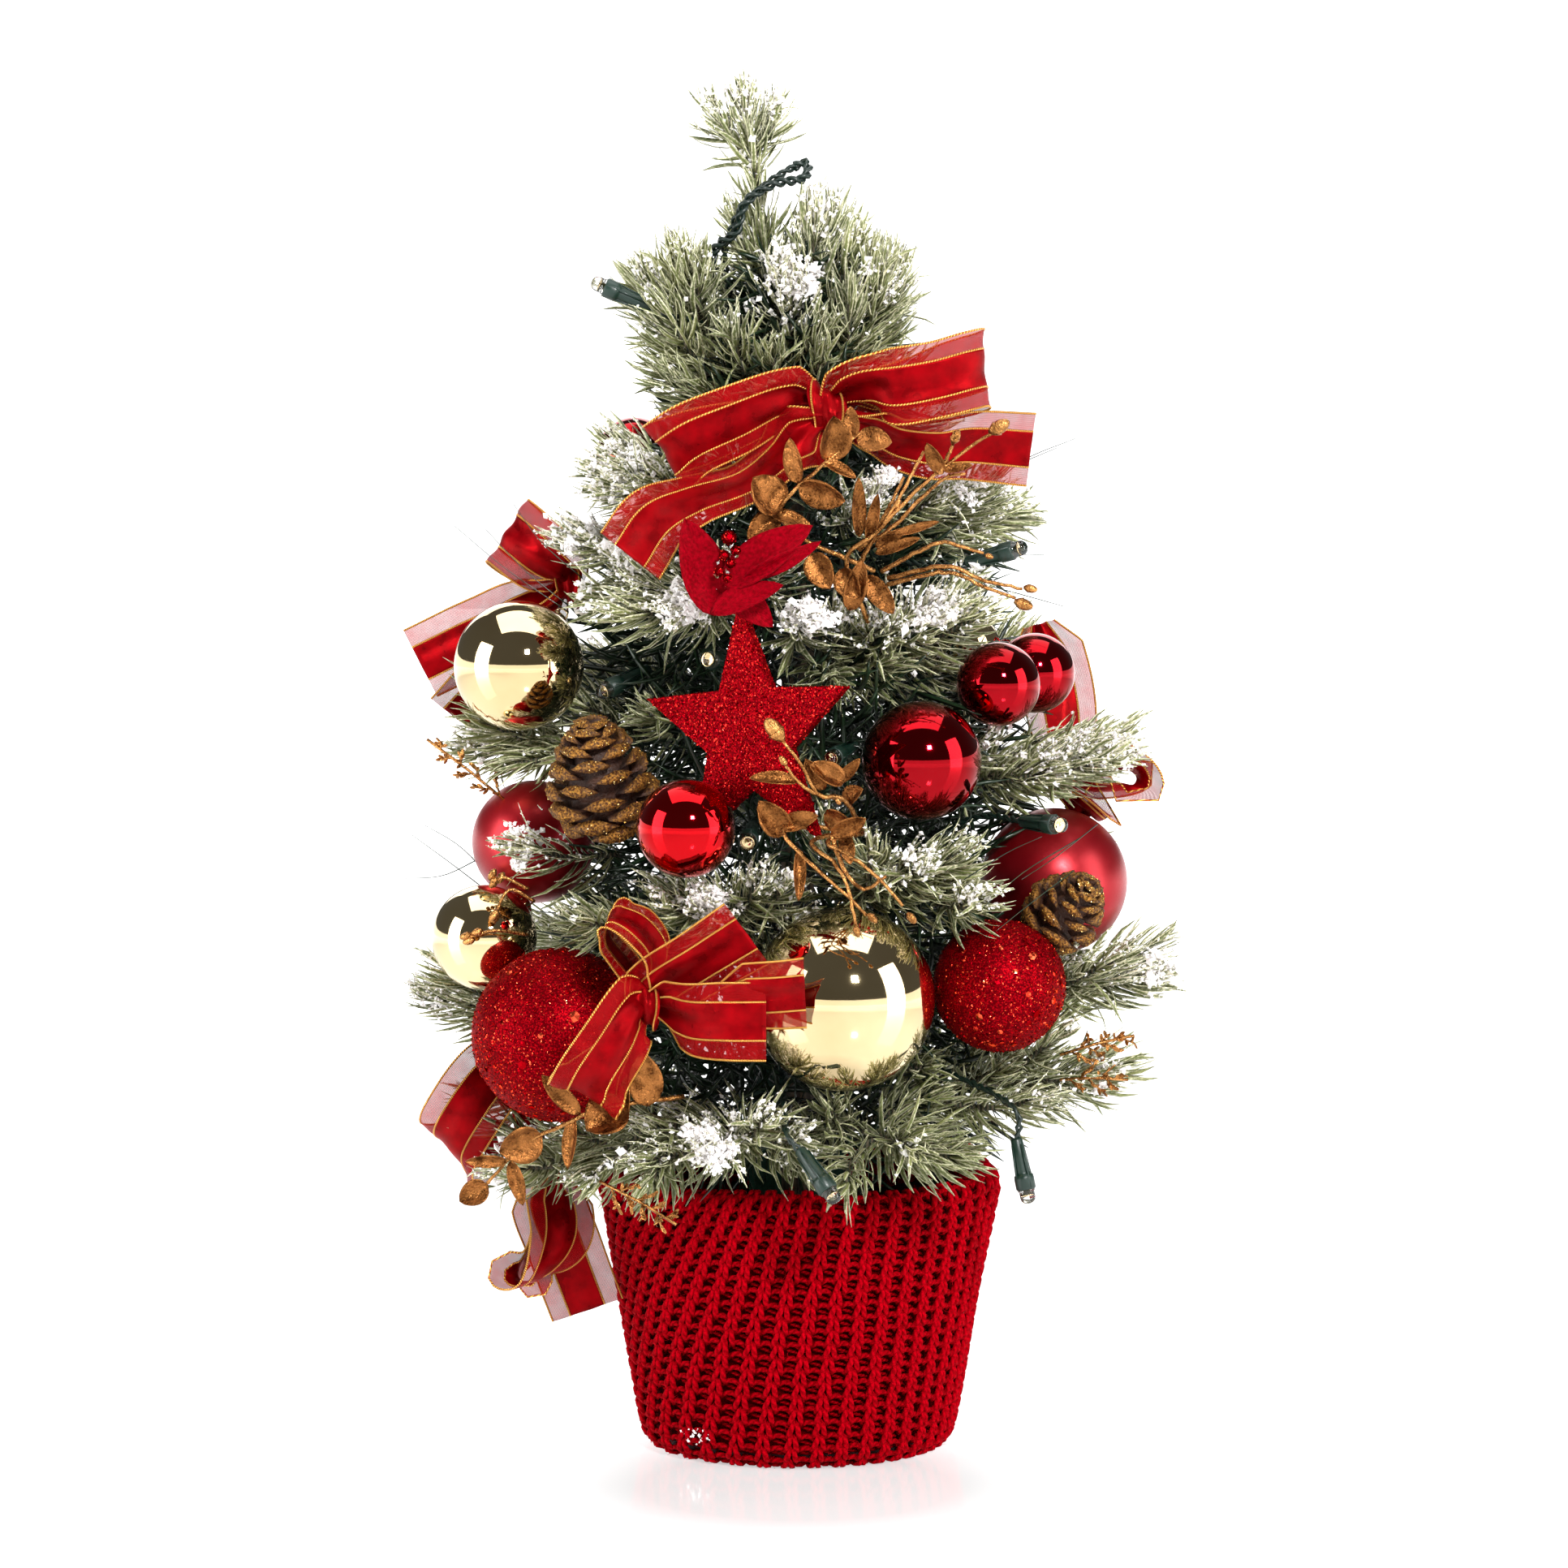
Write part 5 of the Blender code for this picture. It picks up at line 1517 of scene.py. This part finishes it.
def add_sprig(soup, foot, tip, count):
    """A gilded fir sprig with flat needles on its side twigs."""
    axis = unit(tip - foot)
    add_tube(soup, [foot, (foot + tip) / 2 + (0, 0, 0.6 * MM), tip], 0.5 * MM, 6)
    across = unit(np.cross(axis, (0, 1, 0)))
    for k in range(count):
        at = foot + (tip - foot) * (0.15 + 0.8 * k / count)
        way = unit(axis + across * (0.9 if k % 2 else -0.9) + RNG.normal(0, 0.15, 3))
        reach = RNG.uniform(4, 7.5) * MM * (1 - 0.5 * k / count)
        add_tube(soup, [at, at + way * reach], 0.35 * MM, 5)
        for n in range(6):
            base = at + way * reach * (n + 1) / 6
            leaf = unit(way + RNG.normal(0, 0.7, 3))
            add_leaf(soup, base, base + leaf * 2.4 * MM, 1.1 * MM, (RNG.normal(), -1, RNG.normal()), cup=0.1)


def make_sprays():
    for name, (stems, leaves, pods) in SPRAYS.items():
        soup, foil = Soup(), Soup()
        ends = []
        for stem in stems:
            path = smooth_path(np.array(stem) * MM, 26)
            path[1:-1] += RNG.normal(0, 0.12 * MM, (24, 3))
            add_tube(soup, path, np.linspace(0.85, 0.5, 26) * MM, 7)
            ends.append(path)
        for base, tip, width in leaves:
            base, tip = np.array(base) * MM, np.array(tip) * MM
            facing = unit([RNG.normal(0, 0.35), -1, RNG.normal(0.2, 0.35)])
            cup, bend = RNG.uniform(0.1, 0.35), RNG.uniform(-0.12, 0.12)
            add_leaf(foil, base, tip, width * MM, facing, cup, bend, 0.62)
        for *at, length in pods:
            at = np.array(at) * MM
            nearest = min(ends, key=lambda path: np.linalg.norm(path[-1] - at))
            add_pod(soup, at, length, nearest[-1] - nearest[-4])
        shown = soup.piece(name + "_stems", "gilt", "gilt_spray")
        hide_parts(name)
        foil.piece(name + "_leaves", "gilt_leaf", "gilt_spray")
    sprigs = Soup()
    for foot, tip, count in SPRIGS:
        add_sprig(sprigs, np.array(foot) * MM, np.array(tip) * MM, count)
    for stem in BERRY_STEMS:
        path = smooth_path(np.array(stem) * MM, 14)
        add_tube(sprigs, path, 0.55 * MM, 6)
        for _ in range(3):
            add_pod(sprigs, path[-1] + RNG.normal(0, 1.4 * MM, 3), 3.4, path[-1] - path[-3])
    sprigs.piece("gilded_sprigs", "gilt", "gilt_spray")


# ---------------------------------------------------------------- light string

CABLE_FOOT = ((8, 31, 126.6), (8, 31, 132), (5, 20, 132))
CABLE_HEAD = (
    (-12, 10, 335), (-14, 10, 352), (-20, 6, 372), (-24, -4, 390), (-22, -10, 400), (-17, -13, 409),
    (-9, -14, 416), (-1, -9, 421),
)
COIL_RADIUS, COIL_PITCH, COIL_FROM, COIL_TO = 11, 36.8, 134, 318
COIL_STEPS = 16  # points in one turn
CABLE_POINTS = 640
# Each lamp as its bulb's end and the knee in its lead. Millimetres.
LAMPS = (
    ((-65, -24, 383), (-40, -24, 372)), ((71, -62, 299), (50, -54, 293)), ((83, -78, 212), (58, -46, 212)),
    ((11, -115, 99), (-4, -104, 119)), ((73, -76, 93), (67, -74, 123)), ((-29, -70, 264), (-20, -50, 262)),
    ((-63, -45, 252), (-50, -36, 258)), ((10, -80, 233), (18, -62, 236)),
    ((-16, -88, 207), (-14, -64, 212)),
)
# The lead goes round the leader at its head and comes back down beside itself. Millimetres.
CABLE_RETURN = (
    (-1, -9, 421), (3, -8, 422), (2, -13, 417), (-8, -17, 415), (-17, -17, 409), (-20, -14, 400),
    (-27, -8, 394), (-28, -2, 380),
)
# A lamp's turned parts as (radius, height) from the sleeve's foot. Millimetres.
SLEEVE = (
    (1.5, 0), (1.9, 0.6), (2.0, 6), (2.25, 11), (2.35, 11.6), (3.0, 12), (3.15, 13), (3.15, 16.2),
    (2.9, 16.6), (2.6, 16.6),
)
LENS_SHAPE = (
    (2.5, 16.2), (2.75, 16.6), (2.75, 17.1), (2.45, 17.3), (2.45, 19.2), (2.2, 20.2), (1.5, 20.9),
    (0.6, 21.2),
)
CUP = ((0.5, 16.4), (0.9, 17.2), (1.5, 18.2), (1.35, 18.5), (0.5, 18.1))
LAMP_LENGTH = 19.5 * MM


def cable_path():
    turns = np.arange(0, (COIL_TO - COIL_FROM) / COIL_PITCH * COIL_STEPS + 1)[:, None] / COIL_STEPS
    angle = np.pi / 2 + turns * TURN
    height = COIL_FROM + turns * COIL_PITCH
    coil = np.hstack([np.cos(angle) * COIL_RADIUS, np.sin(angle) * COIL_RADIUS, height])
    return smooth_path(np.vstack([CABLE_FOOT, coil, CABLE_HEAD]) * MM, CABLE_POINTS)


def add_twin(soup, path, gap=0.75 * MM, radius=0.62 * MM):
    """Two leads twisted round each other along a path, one turn in each 7.5 mm."""
    _, a, b = frames(path, (0.2, 0.3, 0.9))
    turn = (along_path(path) / (7.5 * MM) * TURN)[:, None]
    offset = (np.cos(turn) * a + np.sin(turn) * b) * gap
    for side in (1, -1):
        add_tube(soup, path + offset * side, radius, 6)


def make_lights_string():
    cable, sockets, lenses, cups = (Soup() for _ in range(4))
    main = cable_path()
    add_twin(cable, main)
    add_twin(cable, smooth_path(np.array(CABLE_RETURN) * MM, 90), 1.0 * MM, 0.8 * MM)
    for bulb, knee in LAMPS:
        bulb, knee = np.array(bulb) * MM, np.array(knee) * MM
        axis = unit(bulb - knee)
        foot = bulb - axis * LAMP_LENGTH
        start = main[np.argmin(np.linalg.norm(main - knee * (0.35, 0.35, 1), axis=1))]
        middle = (start + knee) / 2 + (0, 0, -3 * MM)
        if np.linalg.norm(foot - start) > 10 * MM:
            add_twin(cable, smooth_path([start, middle, knee, foot + axis * 2 * MM], 40))
        add_turned(sockets, SLEEVE, foot, axis, 20)
        for side in circle(4, *crosses(axis, (0.2, 0.3, 0.93))):
            rib = [foot + (axis * 2 + side * 2.0) * MM, foot + (axis * 16 + side * 3.05) * MM]
            add_tube(sockets, rib, 0.35 * MM, 5)
        add_turned(lenses, LENS_SHAPE, foot, axis, 24)
        add_turned(cups, CUP, foot, axis, 14)
    shown = cable.piece("light_cable", "cable", "cable_green")
    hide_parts("light_string")
    sockets.piece("lamp_sockets", "socket", "cable_green")
    lenses.piece("lamp_lenses", "lens", "cable_green")
    cups.piece("lamp_cups", "gold", "gold_shine")


# ---------------------------------------------------------------- the CAD nodes that show as they are

KEPT = {
    "pot": "pot", "ballast": "plaster", "pole": "wood", "battery_box": "box", "battery_lid": "box",
    "battery_left": "cell", "battery_right": "cell", "switch_knob": "knob", "star": "star",
}


def plastic_material(name, colour, roughness, grain=900, strength=0.15):
    m = Nodes(name, colour, roughness)
    fine = m.noise(grain, 2)
    m.colours(m.noise(60, 3), tuple(c * 0.72 for c in colour), colour)
    m.roughness(fine, roughness - 0.06, roughness + 0.1)
    m.relief(fine, strength, 0.0002)
    return m.material


def lens_material():
    m = Nodes("lamp_lens", (1, 0.97, 0.92), 0.03, Transmission_Weight=1.0, IOR=1.49)
    m.colours(m.noise(300, 2), (0.94, 0.92, 0.88), (1, 1, 1))
    return m.material


def wood_material():
    m = Nodes("pole_wood", (0.08, 0.05, 0.03), 0.75)
    grain = m.wave("Fac", Scale=90, Distortion=6, Detail=3)
    m.colours(grain, (0.03, 0.02, 0.012), (0.1, 0.07, 0.04), 0.2, 0.8)
    m.relief(grain, 0.5, 0.0006)
    return m.material


def plaster_material():
    m = Nodes("plaster", (0.6, 0.58, 0.53), 0.9)
    m.colours(m.noise(70, 5), (0.45, 0.43, 0.39), (0.68, 0.66, 0.6))
    m.relief(m.cells(220, "Distance"), 0.7, 0.001)
    return m.material


def cell_material():
    m = Nodes("cell_sleeve", (0.3, 0.31, 0.33), 0.3, 0.5)
    m.colours(m.noise(50, 3), (0.2, 0.21, 0.22), (0.38, 0.39, 0.41))
    m.relief(m.noise(700, 2), 0.1, 0.0002)
    return m.material


def dress_kept_nodes():
    for node, material in KEPT.items():
        data = frame["nodes"][node].data
        data.materials.clear()
        data.materials.append(MATERIALS[material])


# ---------------------------------------------------------------- the whole tree

make_camera()
make_lights()
make_stage()
MATERIALS = {
    "needle": needle_material(),
    # Near-black film: painted shade inside the tree.
    "strip": shaded_strip_material(),
    "stem": stem_material(),
    "flock": flock_material(),
    "wool": wool_material("wool", (0.18, 0.0, 0.002), (0.4, 0.0, 0.005)),
    # A darker copy of the wool for the bars deeper in the knit: painted shade.
    "wool_recess_shade": wool_material("wool_recess_shade", (0.13, 0.0, 0.001), (0.33, 0.0, 0.004)),
    # Near-black wool for the sheet behind the stitches: painted shade.
    "wool_painted_shade": wool_material("wool_painted_shade", (0.04, 0.0, 0.0005), (0.12, 0.0, 0.001)),
    "fuzz": wool_material("wool_fuzz", (0.3, 0.0, 0.006), (0.55, 0.004, 0.012), 0.1),
    "satin": satin_material(),
    "sheer": sheer_material(),
    "thread": thread_material(),
    "gold": mirror_material("bauble_gold", (0.8, 0.65, 0.38), (0.66, 0.5, 0.26)),
    "red_shine": mirror_material("bauble_red", (0.55, 0.002, 0.006), (0.42, 0.001, 0.004)),
    "red_deep": mirror_material("bauble_deep_red", (0.34, 0.001, 0.006), (0.24, 0.001, 0.004)),
    "cap_red": mirror_material("cap_metal", (0.5, 0.02, 0.02), (0.35, 0.01, 0.01), 0.2),
    "red_matte": matte_red_material(),
    "glitter": glitter_base_material("glitter_base"),
    "star": glitter_base_material("star_base"),
    "red_flakes": flake_material("red_flakes", (0.12, 0.0, 0.002), (0.36, 0.001, 0.004), (0.9, 0.1, 0.04)),
    "star_flakes": flake_material("star_flakes", (0.08, 0.0, 0.001), (0.26, 0.0, 0.004), (0.7, 0.03, 0.02)),
    "gold_flakes": flake_material("gold_flakes", (0.25, 0.12, 0.02), (0.6, 0.36, 0.08), (1.0, 0.75, 0.3)),
    "cone": cone_material(),
    "petal": petal_material(),
    "gilt": gilt_material("gilt_stem", (0.14, 0.05, 0.012), (0.55, 0.26, 0.08), 0.3),
    "gilt_leaf": gilt_material("gilt_leaf", (0.06, 0.018, 0.004), (0.32, 0.125, 0.035), 0.34),
    "cable": plastic_material("cable", (0.003, 0.014, 0.009), 0.35),
    "socket": plastic_material("socket", (0.004, 0.022, 0.014), 0.38),
    "lens": lens_material(),
    "pot": plastic_material("pot_plastic", (0.04, 0.002, 0.004), 0.75),
    "plaster": plaster_material(),
    "wood": wood_material(),
    "box": plastic_material("box_plastic", (0.01, 0.06, 0.035), 0.42, 500, 0.25),
    "cell": cell_material(),
    "knob": plastic_material("knob_plastic", (0.015, 0.015, 0.016), 0.4),
}
dress_kept_nodes()
make_foliage()
make_strips()
make_strays()
make_cover()
make_ribbons()
make_baubles()
make_cone("pine_cone_left", (-63, -67, 226), 40, 19, (-0.14, -0.3, 0.9), 46)
make_cone("pine_cone_right", (86, -54, 183), 30, 14, (0.5, -0.6, 0.6), 38)
make_star()
make_flower()
make_sprays()
make_lights_string()
